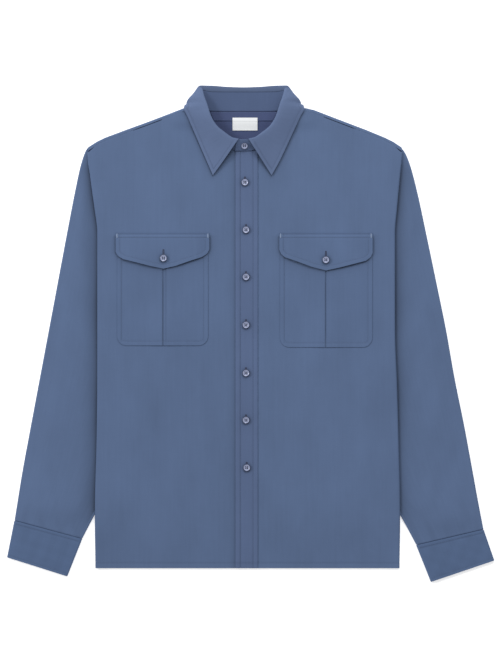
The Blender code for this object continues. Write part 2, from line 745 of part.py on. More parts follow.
def label(group):
    step = FACING_Y[0]
    rows = []
    for y in (LABEL_Y[0], mix(LABEL_Y[0], step, 0.6), step - 3.0, step - 0.6, LABEL_Y[1]):
        near = ease((y - LABEL_Y[0]) / LABEL_RISE_REACH)
        raised = WALL + GAP if y > step - 1.0 else mix(LABEL_RISE, LABEL_RISE_TOP, near)
        xs = [mix(*LABEL_X, s / 4.0) for s in range(5)]
        rows.append([(x, y, yoke_top(x, y) + GAP + raised) for x in xs])
    return cloth("label", rows, LABEL_WALL, group, colour=LABEL_WHITE)


def button(name, place, group):
    """A turned disc with a raised rim and a dished face, its foot at the place given."""
    radius = BUTTON_ACROSS / 2.0
    profile = (
        (0.0, BUTTON_THICK - BUTTON_DISH),
        (radius * 0.5, BUTTON_THICK - BUTTON_DISH),
        (radius * 0.68, BUTTON_THICK),
        (radius * 0.88, BUTTON_THICK),
        (radius, BUTTON_THICK * 0.62),
        (radius * 0.82, 0.0),
        (0.0, 0.0),
    )
    mesh = bpy.data.meshes.new(name)
    bm = bmesh.new()
    verts = [bm.verts.new((x * MM, 0.0, z * MM)) for x, z in profile]
    for a, b in zip(verts, verts[1:]):
        bm.edges.new((a, b))
    bmesh.ops.spin(
        bm,
        geom=bm.verts[:] + bm.edges[:],
        cent=(0.0, 0.0, 0.0),
        axis=(0.0, 0.0, 1.0),
        angle=2.0 * math.pi,
        steps=BUTTON_SIDES,
        use_duplicate=False,
    )
    bmesh.ops.remove_doubles(bm, verts=bm.verts, dist=1e-6)
    bmesh.ops.recalc_face_normals(bm, faces=bm.faces)
    bm.to_mesh(mesh)
    bm.free()
    made = add_object(name, mesh, BUTTON_BLUE, 0.3, group)
    made.matrix_world = place
    return made


def buttons(group):
    for item in BUTTONS:
        if item.carrier == "placket":
            z = placket_under(item.x, item.y) + PLACKET_WALL + GAP
        else:
            pocket = POCKETS[0] if item.x < NECK_X else POCKETS[1]
            z = flap_under(pocket, item.x, item.y) + FLAP_WALL + 2.0 * GAP
        button(item.name, Matrix.Translation(Vector((item.x, item.y, z)) * MM), group)
    first = STAND[0]
    foot, seam = (Vector(mirrored(p, STAND_OVERLAP)) for p in (first.foot, first.seam))
    rise = math.atan2(seam.z - foot.z, seam.y - foot.y)
    share = (COLLAR_BUTTON.y - foot.y) / (seam.y - foot.y)
    off = COLLAR_WALL / 2.0 + GAP
    z = mix(foot.z, seam.z, share)
    centre = Vector((COLLAR_BUTTON.x, COLLAR_BUTTON.y - off * math.sin(rise), z + off * math.cos(rise)))
    button("button_collar", Matrix.Translation(centre * MM) @ Matrix.Rotation(rise, 4, "X"), group)


def build():
    for old in list(bpy.data.objects):
        bpy.data.objects.remove(old)
    group = bpy.data.collections.new("shirt")
    bpy.context.scene.collection.children.link(group)
    back(group)
    yoke(group)
    front_right(group)
    front_left(group)
    placket(group)
    tube("sleeve_right", SLEEVE_LOW, SLEEVE_THICK, WALL, group)
    tube("sleeve_left", SLEEVE_HIGH, SLEEVE_THICK, WALL, group)
    tube("cuff_right", CUFF_LOW, CUFF_THICK, PLACKET_WALL, group)
    tube("cuff_left", CUFF_HIGH, CUFF_THICK, PLACKET_WALL, group)
    for pocket, edge in zip(POCKETS, (FLAP_RIGHT_EDGE, FLAP_LEFT_EDGE)):
        patch_pocket(pocket, group)
        flap(pocket, edge, group)
    collar_stand(group)
    collar_fall(group)
    neck_facing(group)
    label(group)
    buttons(group)


build()
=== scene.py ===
import math
from collections import namedtuple

import bmesh
import bpy
import numpy as np
from mathutils import Matrix, Vector
from mathutils.bvhtree import BVHTree


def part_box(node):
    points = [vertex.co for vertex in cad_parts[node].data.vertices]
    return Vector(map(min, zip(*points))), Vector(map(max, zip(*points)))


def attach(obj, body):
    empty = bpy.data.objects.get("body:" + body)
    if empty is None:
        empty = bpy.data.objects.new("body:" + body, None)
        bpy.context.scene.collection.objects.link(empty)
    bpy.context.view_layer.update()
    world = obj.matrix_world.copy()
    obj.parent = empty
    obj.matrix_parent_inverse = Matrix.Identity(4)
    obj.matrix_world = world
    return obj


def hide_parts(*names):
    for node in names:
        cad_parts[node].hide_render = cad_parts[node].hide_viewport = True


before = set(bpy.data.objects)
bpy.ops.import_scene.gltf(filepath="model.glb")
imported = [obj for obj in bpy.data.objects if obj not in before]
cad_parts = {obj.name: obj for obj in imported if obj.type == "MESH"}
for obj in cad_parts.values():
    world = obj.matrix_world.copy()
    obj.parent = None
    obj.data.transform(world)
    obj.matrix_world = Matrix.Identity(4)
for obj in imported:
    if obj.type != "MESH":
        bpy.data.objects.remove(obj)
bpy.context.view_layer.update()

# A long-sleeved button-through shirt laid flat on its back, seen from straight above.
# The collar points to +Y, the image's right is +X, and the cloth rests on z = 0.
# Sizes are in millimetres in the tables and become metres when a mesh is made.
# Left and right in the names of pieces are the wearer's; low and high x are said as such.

MM = 0.001

# Cloth
WALL = 1.0
COLLAR_WALL = 1.2
PLACKET_WALL = 1.0
CUFF_WALL = 1.4
POCKET_WALL = 0.6
FLAP_WALL = 0.8
LABEL_WALL = 0.6
GAP = 0.3
SEWN_GAP = 0.15
EDGE_ROUND = 0.25

# Lengths of the body
HEM_Y = -375.6
HEM_STITCH = 8.3
SHOULDER_SEAM_DROP = 6.0
SHOULDER_TUCK = 1.4
YOKE_SEAM_Y = 232.0
SIDE_TOP_Y = 290.0

# Depths of the layers
SLEEVE_THICK = 4.6
CUFF_THICK = 5.2
TUCK_LIFT = SLEEVE_THICK + GAP
TUCK_MARGIN = 7.0
TUCK_SLOPE = 70.0
HOLLOW_MIDDLE = 3.4
HOLLOW_SIDE = 1.8
HEM_HOLLOW_SHARE = 0.4
HEM_HOLLOW_REACH = 70.0
SIDE_ROLL = 2.2
SIDE_GAP = 0.4
MIDDLE_FLAT = 24.0
MIDDLE_FADE = 30.0
SHOULDER_FLAT_FROM_Y = 225.0
SHOULDER_FADE = 60.0
YOKE_TURN_FROM = 8.0
YOKE_TURN_AT = 3.0
YOKE_EDGE_RUN = 5.0

# The neck end of the yoke rides over the turned-down back of the collar
NECK_X = -11.4
NECK_LIFT = 2.9
NECK_LIFT_FROM_Y = 322.0
NECK_LIFT_TO_Y = 342.0
NECK_LIFT_HALF_WIDTH = 100.0
NECK_LIFT_FADE = 28.0

# Front band and the overlap of the fronts
PLACKET_X = (-24.0, 11.2)
PLACKET_TOP_Y = 292.0
PLACKET_STITCH_X = (-16.3, 4.2)
FRONT_RIGHT_END = (3.4, 291.8)
FRONT_LEFT_START = (4.0, 293.6)
NECK_STEP = 5.0

# Seams: stitching sinks into the cloth, and the turned-in edge beside it is thicker
STITCH_LONG = 2.3
STITCH_PITCH = 3.0
THREAD_ACROSS = 0.5
STITCH_SINK = 0.35
STITCH_SINK_WIDE = 1.1
TURNED_EDGE = 0.4

# Buttons and buttonholes
BUTTON_ACROSS = 11.2
BUTTON_THICK = 2.6
BUTTON_DISH = 0.7
BUTTON_RIM = 1.3
HOLE_ACROSS = 1.9
HOLE_FROM_CENTRE = 1.5
BUTTONHOLE_LONG = 13.4
BUTTONHOLE_WIDE = 2.9

# Collar
STAND_OVERLAP = 1.9
FALL_ABOVE_STAND = 0.5
COLLAR_STITCH = 5.0

# Pockets and flaps
POCKET_GAP = 0.15
POCKET_STITCH = 6.8
PLEAT_RISE = 1.5
PLEAT_REACH = 34.0
PLEAT_BETWEEN = 0.5
PLEAT_SEWN_REACH = 26.0
PLEAT_SEWN_SHARE = 0.35
FLAP_TOP_Y = 160.3
FLAP_OVER_Y = 150.5
FLAP_FRONT_RISE = 1.0
FLAP_FRONT_REACH = 60.0
FLAP_SIDE_REACH = 20.0
FLAP_SIDE_SHARE = 0.25
FLAP_SEAM = 2.0
FLAP_STITCH = 6.4
FLAP_TOP_STITCHES = (158.7, 152.9)

# Sleeves
SLEEVE_PUFF = 3.0
PUFF_FROM_BODY = 26.0
PUFF_FROM_EDGE = 34.0
SEWN_THICK = 2.2
SEWN_RISE = 1.5
SEWN_ASIDE = 1.6

# Camera: the frame is 1.6 mm a pixel at 500 x 667
FRAME_HIGH = 1067.2
FRAME_CENTRE = (-0.96, -0.32)
LENS = 180.0
SENSOR = 36.0

# Colours, linear
CLOTH = (0.090, 0.137, 0.249)
COLLAR_CLOTH = (0.103, 0.146, 0.260)
BAND_CLOTH = (0.085, 0.124, 0.230)
PATCH_CLOTH = (0.085, 0.130, 0.238)
CUFF_CLOTH = (0.082, 0.129, 0.240)
# The inside of the cloth: its reverse colour, darkened further as painted shade
CLOTH_INSIDE_SHADED = (0.054, 0.0735, 0.160)
# Painted shade: the inside of the collar stand, the same cloth painted darker
STAND_INSIDE_SHADED = (0.070, 0.103, 0.1965)
THREAD = (0.078, 0.120, 0.222)
# Thread of the buttons and buttonholes, painted dark navy as the shade of the holes and the slits
DARK_THREAD_AS_SHADE = (0.014, 0.018, 0.050)
PALE_THREAD = (0.260, 0.330, 0.470)
# Painted shade of the buttons, in their middle and round their side
BUTTON_SHADE_DARK = (0.012, 0.014, 0.045)
BUTTON_PALE = (0.290, 0.330, 0.490)
LABEL_WHITE = (0.80, 0.82, 0.83)

# Painted shade: how much darker the cloth is painted beside raised edges, in seams, in the hollows of folds and
# over the back roll of the collar, as a share of its colour
SEAM_SHADE = 0.13
FOLD_SHADE = 0.035
ROLL_SHADE = 0.24

Sides = namedtuple("Sides", "y low high")
Place = namedtuple("Place", "x y")
Section = namedtuple("Section", "outer inner")
Crease = namedtuple("Crease", "x y length width rise turn")
YokeTop = namedtuple("YokeTop", "x y folded")
Stand = namedtuple("Stand", "foot seam over")
Fall = namedtuple("Fall", "seam roll crown edge over shift")
Pocket = namedtuple("Pocket", "name low high top bottom corner pleat_low pleat_high")
Cut = namedtuple("Cut", "wide long area")

# The cut of each sheet in metres; a sleeve and a cuff are stated all round
CUTS = {
    "back": Cut(0.502, 0.607, 0.2918),
    "yoke": Cut(0.510, 0.170, 0.0572),
    "front_right": Cut(0.270, 0.740, 0.1753),
    "front_left": Cut(0.245, 0.740, 0.1623),
    "placket": Cut(0.0352, 0.6645, 0.0234),
    "sleeve_right": Cut(0.420, 0.620, 0.1444),
    "sleeve_left": Cut(0.430, 0.630, 0.1520),
    "cuff_right": Cut(0.226, 0.062, 0.0130),
    "cuff_left": Cut(0.232, 0.062, 0.0130),
    "pocket_right": Cut(0.148, 0.172, 0.0247),
    "pocket_left": Cut(0.150, 0.174, 0.0255),
    "flap_right": Cut(0.150, 0.058, 0.0073),
    "flap_left": Cut(0.150, 0.060, 0.0073),
    "collar_stand": Cut(0.330, 0.034, 0.0088),
    "collar_fall": Cut(0.420, 0.070, 0.0200),
    "neck_facing": Cut(0.109, 0.0146, 0.0015),
    "label": Cut(0.040, 0.0216, 0.00086),
}

# The folded side edges of the body, hem to shoulder
BODY_EDGE = (
    Sides(-375.0, -248.2, 238.1),
    Sides(-285.0, -249.0, 239.0),
    Sides(-160.0, -246.2, 236.3),
    Sides(-82.0, -245.4, 234.2),
    Sides(-2.0, -245.3, 231.2),
    Sides(53.0, -245.3, 231.0),
    Sides(160.0, -245.3, 231.0),
    Sides(202.0, -250.1, 234.4),
    Sides(229.0, -253.8, 236.8),
    Sides(254.0, -257.0, 239.2),
    Sides(274.0, -260.2, 241.3),
    Sides(300.0, -261.6, 243.4),
)

# The inner edge of each sleeve where it lies behind the body
TUCK_EDGE = (
    Sides(-345.0, -298.0, 284.0),
    Sides(-290.0, -249.0, 238.2),
    Sides(-247.0, -225.0, 208.6),
    Sides(-180.0, -199.4, 183.0),
    Sides(-110.0, -180.2, 163.8),
    Sides(-51.0, -167.4, 151.0),
    Sides(-18.0, -163.0, 146.6),
    Sides(20.0, -175.0, 158.6),
    Sides(44.0, -192.0, 175.6),
    Sides(62.0, -199.0, 182.6),
    Sides(80.0, -203.0, 186.6),
    Sides(293.0, -264.0, 246.0),
)

# The front neckline on the low-x half, from the neck point to the centre
FRONT_NECKLINE = (
    Place(-92.0, 358.0),
    Place(-88.0, 352.0),
    Place(-82.0, 338.0),
    Place(-69.0, 321.0),
    Place(-48.0, 304.8),
    Place(-25.0, 293.4),
    Place(-11.4, 291.8),
)

# Where the yoke ends at the top: at the shoulder fold, or at the back neckline
YOKE_TOP = (
    YokeTop(-260.0, 297.0, 1.0),
    YokeTop(-245.8, 306.1, 1.0),
    YokeTop(-233.0, 312.5, 1.0),
    YokeTop(-199.4, 325.3, 1.0),
    YokeTop(-164.2, 338.1, 1.0),
    YokeTop(-130.6, 350.9, 1.0),
    YokeTop(-106.6, 359.9, 1.0),
    YokeTop(-96.0, 363.4, 1.0),
    YokeTop(-86.0, 361.0, 0.0),
    YokeTop(-74.0, 359.2, 0.0),
    YokeTop(-58.0, 356.6, 0.0),
    YokeTop(-11.4, 356.4, 0.0),
    YokeTop(35.2, 356.6, 0.0),
    YokeTop(51.2, 359.2, 0.0),
    YokeTop(63.2, 361.0, 0.0),
    YokeTop(73.2, 363.4, 1.0),
    YokeTop(84.0, 360.6, 1.0),
    YokeTop(101.4, 357.0, 1.0),
    YokeTop(117.4, 350.9, 1.0),
    YokeTop(151.0, 338.1, 1.0),
    YokeTop(184.6, 325.3, 1.0),
    YokeTop(215.0, 312.5, 1.0),
    YokeTop(227.8, 306.1, 1.0),
    YokeTop(241.6, 296.8, 1.0),
)

# Sleeve sections from the armhole to the cuff seam
SLEEVE_LOW = (
    Section(Place(-259.4, 298.0), Place(-200.4, 84.0)),
    Section(Place(-263.6, 292.0), Place(-203.0, 79.0)),
    Section(Place(-271.4, 269.3), Place(-200.0, 62.0)),
    Section(Place(-280.2, 229.3), Place(-194.0, 44.0)),
    Section(Place(-293.8, 158.9), Place(-176.0, 20.0)),
    Section(Place(-308.2, 82.1), Place(-164.0, -18.0)),
    Section(Place(-322.6, 5.3), Place(-167.4, -58.0)),
    Section(Place(-337.0, -71.5), Place(-180.2, -109.9)),
    Section(Place(-351.4, -148.3), Place(-199.4, -180.3)),
    Section(Place(-365.0, -221.9), Place(-225.0, -247.5)),
    Section(Place(-373.0, -271.5), Place(-249.0, -289.6)),
    Section(Place(-377.4, -299.0), Place(-269.3, -328.2)),
)
SLEEVE_HIGH = (
    Section(Place(240.8, 296.4), Place(184.0, 84.0)),
    Section(Place(246.2, 290.0), Place(186.6, 79.0)),
    Section(Place(254.4, 270.9), Place(183.6, 62.0)),
    Section(Place(265.7, 229.3), Place(177.6, 44.0)),
    Section(Place(280.9, 158.9), Place(159.6, 20.0)),
    Section(Place(296.9, 82.1), Place(147.6, -18.0)),
    Section(Place(312.6, 5.3), Place(151.0, -58.0)),
    Section(Place(326.2, -71.5), Place(163.8, -109.9)),
    Section(Place(341.7, -148.3), Place(183.0, -180.3)),
    Section(Place(355.3, -221.9), Place(208.6, -247.5)),
    Section(Place(364.3, -271.5), Place(238.2, -289.6)),
    Section(Place(372.3, -313.1), Place(265.0, -338.1)),
)

# Cuff sections from the sleeve seam to the wrist edge
CUFF_LOW = (
    Section(Place(-377.8, -299.5), Place(-269.3, -328.8)),
    Section(Place(-383.6, -328.8), Place(-281.2, -358.7)),
    Section(Place(-389.4, -358.2), Place(-293.1, -388.6)),
)
CUFF_HIGH = (
    Section(Place(372.7, -313.7), Place(264.8, -338.9)),
    Section(Place(381.2, -338.5), Place(276.5, -368.1)),
    Section(Place(389.8, -363.2), Place(288.3, -397.6)),
)

# The soft folds of the fronts: ridges and troughs over the flat cloth, turned in degrees
CREASES = (
    Crease(-196.0, -200.0, 300.0, 30.0, 1.3, 2.0),
    Crease(-118.0, -230.0, 240.0, 22.0, 1.1, -6.0),
    Crease(-150.0, 232.0, 120.0, 26.0, 0.9, 24.0),
    Crease(60.0, -200.0, 260.0, 24.0, 1.0, -3.0),
    Crease(128.0, -200.0, 280.0, 30.0, 1.2, 4.0),
    Crease(186.0, -220.0, 260.0, 26.0, 1.3, -2.0),
    Crease(130.0, 232.0, 120.0, 26.0, 0.9, -24.0),
    Crease(-60.0, -150.0, 380.0, 14.0, -0.6, 1.0),
    Crease(-84.0, -90.0, 200.0, 9.0, 0.4, -4.0),
    Crease(-152.0, -140.0, 260.0, 12.0, -0.5, 3.0),
    Crease(-222.0, -40.0, 420.0, 11.0, -0.5, 0.0),
    Crease(-100.0, -290.0, 110.0, 8.0, -0.6, 30.0),
    Crease(-126.0, -262.0, 90.0, 7.0, 0.5, 24.0),
    Crease(36.0, -90.0, 300.0, 9.0, -0.4, -2.0),
    Crease(96.0, -170.0, 240.0, 12.0, -0.5, -5.0),
    Crease(160.0, -110.0, 300.0, 12.0, -0.6, 2.0),
    Crease(208.0, -20.0, 460.0, 11.0, -0.5, 0.0),
    Crease(80.0, -300.0, 90.0, 7.0, 0.4, -28.0),
    Crease(-200.0, 196.0, 90.0, 14.0, -0.5, 20.0),
    Crease(180.0, 200.0, 100.0, 14.0, -0.5, -22.0),
)

# The soft folds of the sleeves
SLEEVE_CREASES = (
    Crease(-292.0, 40.0, 260.0, 12.0, 0.9, 12.0),
    Crease(-274.0, -60.0, 200.0, 10.0, -0.8, 8.0),
    Crease(-310.0, -110.0, 240.0, 13.0, 1.0, 12.0),
    Crease(-336.0, -200.0, 160.0, 10.0, -0.7, 14.0),
    Crease(-300.0, -230.0, 140.0, 11.0, 0.8, 16.0),
    Crease(-276.0, 170.0, 150.0, 9.0, 0.5, 10.0),
    Crease(278.0, 40.0, 260.0, 12.0, 0.9, -12.0),
    Crease(260.0, -60.0, 200.0, 10.0, -0.8, -8.0),
    Crease(298.0, -120.0, 240.0, 13.0, 1.0, -12.0),
    Crease(324.0, -210.0, 160.0, 10.0, -0.7, -14.0),
    Crease(290.0, -240.0, 140.0, 11.0, 0.8, -16.0),
    Crease(262.0, 170.0, 150.0, 9.0, 0.5, -10.0),
)

# Low-x half of the collar stand, from the centre front round to the centre back
STAND = (
    Stand((2.2, 291.6, 6.3), (-0.6, 309.6, 16.2), 1.0),
    Stand((-22.0, 292.2, 6.3), (-20.8, 309.4, 16.2), 1.0),
    Stand((-45.8, 304.2, 6.5), (-39.4, 319.0, 17.6), 0.7),
    Stand((-66.6, 320.2, 6.9), (-54.0, 331.5, 19.0), 0.3),
    Stand((-79.4, 338.0, 8.0), (-63.2, 346.5, 20.0), 0.0),
    Stand((-85.4, 351.5, 8.4), (-68.6, 361.6, 19.4), 0.0),
    Stand((-85.4, 359.4, 8.4), (-73.0, 374.2, 16.8), 0.0),
    Stand((-75.0, 358.4, 6.6), (-76.4, 388.0, 11.0), 0.0),
    Stand((-60.0, 355.4, 5.2), (-62.8, 387.0, 8.8), 0.0),
    Stand((-36.0, 355.2, 5.0), (-36.0, 386.6, 7.8), 0.0),
    Stand((-11.4, 355.2, 5.0), (-11.4, 386.6, 7.6), 0.0),
)

# Low-x half of the collar fall: it leaves the stand, rolls over and lies on the shoulder
FALL = (
    Fall((-19.6, 309.8, 17.2), (-18.0, 312.6, 24.5), (-33.0, 289.0, 14.0), (-60.2, 252.6, 7.4), 1.0, -3.8),
    Fall((-28.4, 311.0, 17.2), (-27.4, 316.0, 24.5), (-43.0, 300.0, 15.0), (-69.2, 273.2, 7.2), 0.9, -1.2),
    Fall((-40.4, 319.4, 17.8), (-41.4, 323.0, 25.0), (-57.0, 310.0, 16.0), (-80.4, 299.2, 7.4), 0.7, 0.0),
    Fall((-54.4, 331.2, 19.0), (-54.6, 334.0, 26.0), (-70.0, 325.0, 17.0), (-91.4, 324.8, 8.2), 0.3, 0.8),
    Fall((-63.4, 346.2, 20.0), (-61.8, 347.0, 27.0), (-80.0, 342.0, 18.0), (-100.4, 345.8, 9.4), 0.0, 1.4),
    Fall((-68.6, 361.6, 19.4), (-66.6, 363.0, 26.0), (-87.0, 361.0, 19.0), (-106.4, 358.6, 10.0), 0.0, 1.8),
    Fall((-70.6, 368.0, 18.4), (-69.0, 370.0, 25.0), (-91.0, 371.0, 18.0), (-104.6, 364.6, 5.6), 0.0, 1.4),
    Fall((-73.2, 375.0, 17.0), (-72.4, 378.0, 23.5), (-108.0, 384.0, 12.0), (-101.0, 362.0, 1.2), 0.0, 0.8),
    Fall((-76.6, 387.6, 12.5), (-76.6, 389.6, 19.0), (-101.0, 396.0, 3.0), (-92.0, 352.0, 0.7), 0.0, 0.4),
    Fall((-75.4, 388.2, 10.4), (-80.0, 399.0, 15.0), (-89.0, 405.0, 1.2), (-76.0, 348.0, 0.7), 0.0, 0.0),
    Fall((-62.6, 386.2, 9.0), (-64.0, 400.0, 13.0), (-68.0, 405.0, 0.1), (-60.0, 347.0, 0.7), 0.0, 0.0),
    Fall((-36.0, 385.8, 8.0), (-36.0, 397.0, 11.4), (-36.0, 403.0, 0.1), (-36.0, 347.0, 0.7), 0.0, 0.0),
    Fall((-11.4, 385.8, 7.8), (-11.4, 396.0, 11.2), (-11.4, 402.0, 0.1), (-11.4, 347.0, 0.7), 0.0, 0.0),
)

POCKETS = (
    Pocket("right", -213.1, -68.2, 149.0, -19.5, 15.0, -141.0, -134.6),
    Pocket("left", 47.0, 194.2, 149.0, -22.2, 15.0, 118.9, 121.3),
)

# Lower edge of each pocket flap
FLAP_RIGHT_EDGE = (
    Place(-215.6, 130.0),
    Place(-212.0, 123.6),
    Place(-203.0, 118.2),
    Place(-180.0, 112.6),
    Place(-160.0, 107.4),
    Place(-139.4, 103.2),
    Place(-120.0, 107.6),
    Place(-98.0, 115.4),
    Place(-78.0, 121.8),
    Place(-69.4, 127.2),
    Place(-66.0, 134.0),
)
FLAP_LEFT_EDGE = (
    Place(45.8, 133.6),
    Place(48.6, 126.8),
    Place(54.6, 121.6),
    Place(76.0, 114.2),
    Place(98.0, 106.0),
    Place(120.6, 100.3),
    Place(142.0, 105.0),
    Place(164.0, 110.6),
    Place(184.0, 115.8),
    Place(191.8, 121.4),
    Place(194.8, 128.4),
)
FLAP_EDGES = (FLAP_RIGHT_EDGE, FLAP_LEFT_EDGE)

FRONT_BUTTONS = tuple(f"button_front_{n}" for n in range(1, 8))
FLAP_BUTTONS = ("button_flap_right", "button_flap_left")

# Neck facing and label
FACING_TOP = (-65.0, 44.0)
FACING_BOTTOM = (-59.0, 36.0)
FACING_Y = (339.7, 354.3)
LABEL_X = (-28.9, 11.1)
LABEL_Y = (324.2, 344.6)
LABEL_RISE = 0.6
LABEL_RISE_TOP = 1.0
LABEL_RISE_REACH = 14.0


# Shapes worked out over whole arrays


def clamp(value):
    return np.clip(value, 0.0, 1.0)


def ease(value):
    t = clamp(value)
    return t * t * (3.0 - 2.0 * t)


def mix(a, b, t):
    return a + (b - a) * t


def curve(xs, ys):
    """A smooth curve through points whose xs rise, level wherever it turns back."""
    xs, ys = np.array(xs, float), np.array(ys, float)
    steps = np.diff(xs)
    slopes = np.diff(ys) / steps
    product = slopes[:-1] * slopes[1:]
    total = np.where(product > 0.0, slopes[:-1] + slopes[1:], 1.0)
    inner = np.where(product > 0.0, 2.0 * product / total, 0.0)
    tangents = np.concatenate([slopes[:1], inner, slopes[-1:]])

    def at(x):
        x = np.clip(np.asarray(x, float), xs[0], xs[-1])
        i = np.clip(np.searchsorted(xs, x, side="right") - 1, 0, len(steps) - 1)
        t = (x - xs[i]) / steps[i]
        start, end = tangents[i] * steps[i], tangents[i + 1] * steps[i]
        rise = (2 * t**3 - 3 * t**2 + 1) * ys[i] + (t**3 - 2 * t**2 + t) * start
        return rise + (3 * t**2 - 2 * t**3) * ys[i + 1] + (t**3 - t**2) * end

    return at


def sides(rows):
    ys = [row.y for row in rows]
    return {side: curve(ys, [getattr(row, side) for row in rows]) for side in ("low", "high")}


BODY_AT = sides(BODY_EDGE)
TUCK_INNER = sides(TUCK_EDGE)


def shoulder_y(x):
    return np.interp(x, [top.x for top in YOKE_TOP], [top.y for top in YOKE_TOP])


def tuck_at(x, y):
    """How far the sleeves behind it raise the back, from 0 to 1."""
    low = (TUCK_INNER["low"](y) + TUCK_MARGIN - x) / TUCK_SLOPE + 1.0
    high = (x - TUCK_INNER["high"](y) + TUCK_MARGIN) / TUCK_SLOPE + 1.0
    return np.maximum(ease(low), ease(high))


def neck_at(x, y):
    """How far the back of the collar raises the cloth at the neck, from 0 to 1."""
    up = ease((y - NECK_LIFT_FROM_Y) / (NECK_LIFT_TO_Y - NECK_LIFT_FROM_Y))
    aside = (abs(x - NECK_X) - NECK_LIFT_HALF_WIDTH) / NECK_LIFT_FADE
    return up * (1.0 - ease(aside))


def lift_at(x, y):
    return np.maximum(TUCK_LIFT * tuck_at(x, y), NECK_LIFT * neck_at(x, y))


def creases_at(rows, x, y):
    total = np.zeros(np.broadcast(x, y).shape)
    for crease in rows:
        turn = math.radians(crease.turn)
        across = (x - crease.x) * math.cos(turn) + (y - crease.y) * math.sin(turn)
        along = (y - crease.y) * math.cos(turn) - (x - crease.x) * math.sin(turn)
        reach = 1.0 - ease(abs(along) / (crease.length / 2.0))
        total += crease.rise * reach * np.exp(-((across / crease.width) ** 2))
    return total


def hollow_at(x, y):
    """The space between the back and a front."""
    middle = mix(HOLLOW_MIDDLE, HOLLOW_SIDE, tuck_at(x, y))
    return middle * mix(HEM_HOLLOW_SHARE, 1.0, ease((y - HEM_Y) / HEM_HOLLOW_REACH))


def back_top(x, y):
    return lift_at(x, y) + WALL


def hem_at(y):
    """The doubled hem of the fronts, and the dip of its stitching."""
    up = y - HEM_Y
    doubled = TURNED_EDGE * (1.0 - ease((up - HEM_STITCH) / STITCH_SINK_WIDE))
    return doubled - STITCH_SINK * np.exp(-(((up - HEM_STITCH) / STITCH_SINK_WIDE) ** 2))


def front_under(x, y):
    centre = ease((abs(x - NECK_X) - MIDDLE_FLAT) / MIDDLE_FADE)
    shoulder = 1.0 - ease((y - SHOULDER_FLAT_FROM_Y) / SHOULDER_FADE)
    folds = creases_at(CREASES, x, y) * centre * shoulder
    return back_top(x, y) + hollow_at(x, y) + folds


def front_top(x, y):
    return front_under(x, y) + WALL


def seam_dip(distance, inset):
    """A row of stitching that sinks in, with the turned-in edge raised outside it."""
    raised = TURNED_EDGE * (1.0 - ease((distance - inset) / STITCH_SINK_WIDE))
    return raised - STITCH_SINK * np.exp(-(((distance - inset) / STITCH_SINK_WIDE) ** 2))


def spread(places, longest):
    """The same places with more between them, no two further apart than that."""
    made = [places[0]]
    for a, b in zip(places, places[1:]):
        count = max(1, math.ceil(abs(b - a) / longest))
        made += [mix(a, b, (i + 1) / count) for i in range(count)]
    return np.array(made)


def spread_points(points, longest):
    """A polyline with more points along it."""
    made = [np.array(points[0], float)]
    for a, b in zip(points, points[1:]):
        a, b = np.array(a, float), np.array(b, float)
        count = max(1, math.ceil(np.linalg.norm(b - a) / longest))
        made += [mix(a, b, (i + 1) / count) for i in range(count)]
    return np.array(made)


def inset(points, distance):
    """An open polyline moved to its left by a distance, its corners mitred."""
    points = np.array(points, float)
    along = np.diff(points, axis=0)
    along /= np.linalg.norm(along, axis=1)[:, None]
    left = np.stack([-along[:, 1], along[:, 0]], axis=1)
    before = np.concatenate([left[:1], left])
    after = np.concatenate([left, left[-1:]])
    middle = before + after
    middle /= np.linalg.norm(middle, axis=1)[:, None]
    return points + middle * distance / np.sum(middle * before, axis=1)[:, None]


def line_distance(x, y, line):
    """How far each place is from a polyline."""
    x, y = np.broadcast_arrays(x, y)
    nearest = np.full(x.shape, np.inf)
    for a, b in zip(line, line[1:]):
        along = np.subtract(b, a)
        share = clamp(((x - a[0]) * along[0] + (y - a[1]) * along[1]) / (along @ along))
        apart = np.hypot(x - a[0] - along[0] * share, y - a[1] - along[1] * share)
        nearest = np.minimum(nearest, apart)
    return nearest


def seam_shade(distance, inset_by, strength=SEAM_SHADE):
    """The painted shade of the line where a row of stitching sinks in."""
    return strength * np.exp(-(((distance - inset_by) / STITCH_SINK_WIDE) ** 2))


def beside(distance, edge, short, soft, wide):
    """The shade beside a raised edge: a narrow dark part and a wide soft one."""
    off = np.maximum(distance, 0.0)
    return edge * np.exp(-off / short) + soft * np.exp(-off / wide)


def grid(xs, ys, height):
    """Rows of points over two arrays, with a height function of x and y."""
    return np.stack([xs, ys, height(xs, ys)], axis=-1)


# Materials


def node(tree, kind, at, **values):
    made = tree.nodes.new(kind)
    made.location = at
    for name, value in values.items():
        setattr(made, name, value)
    return made


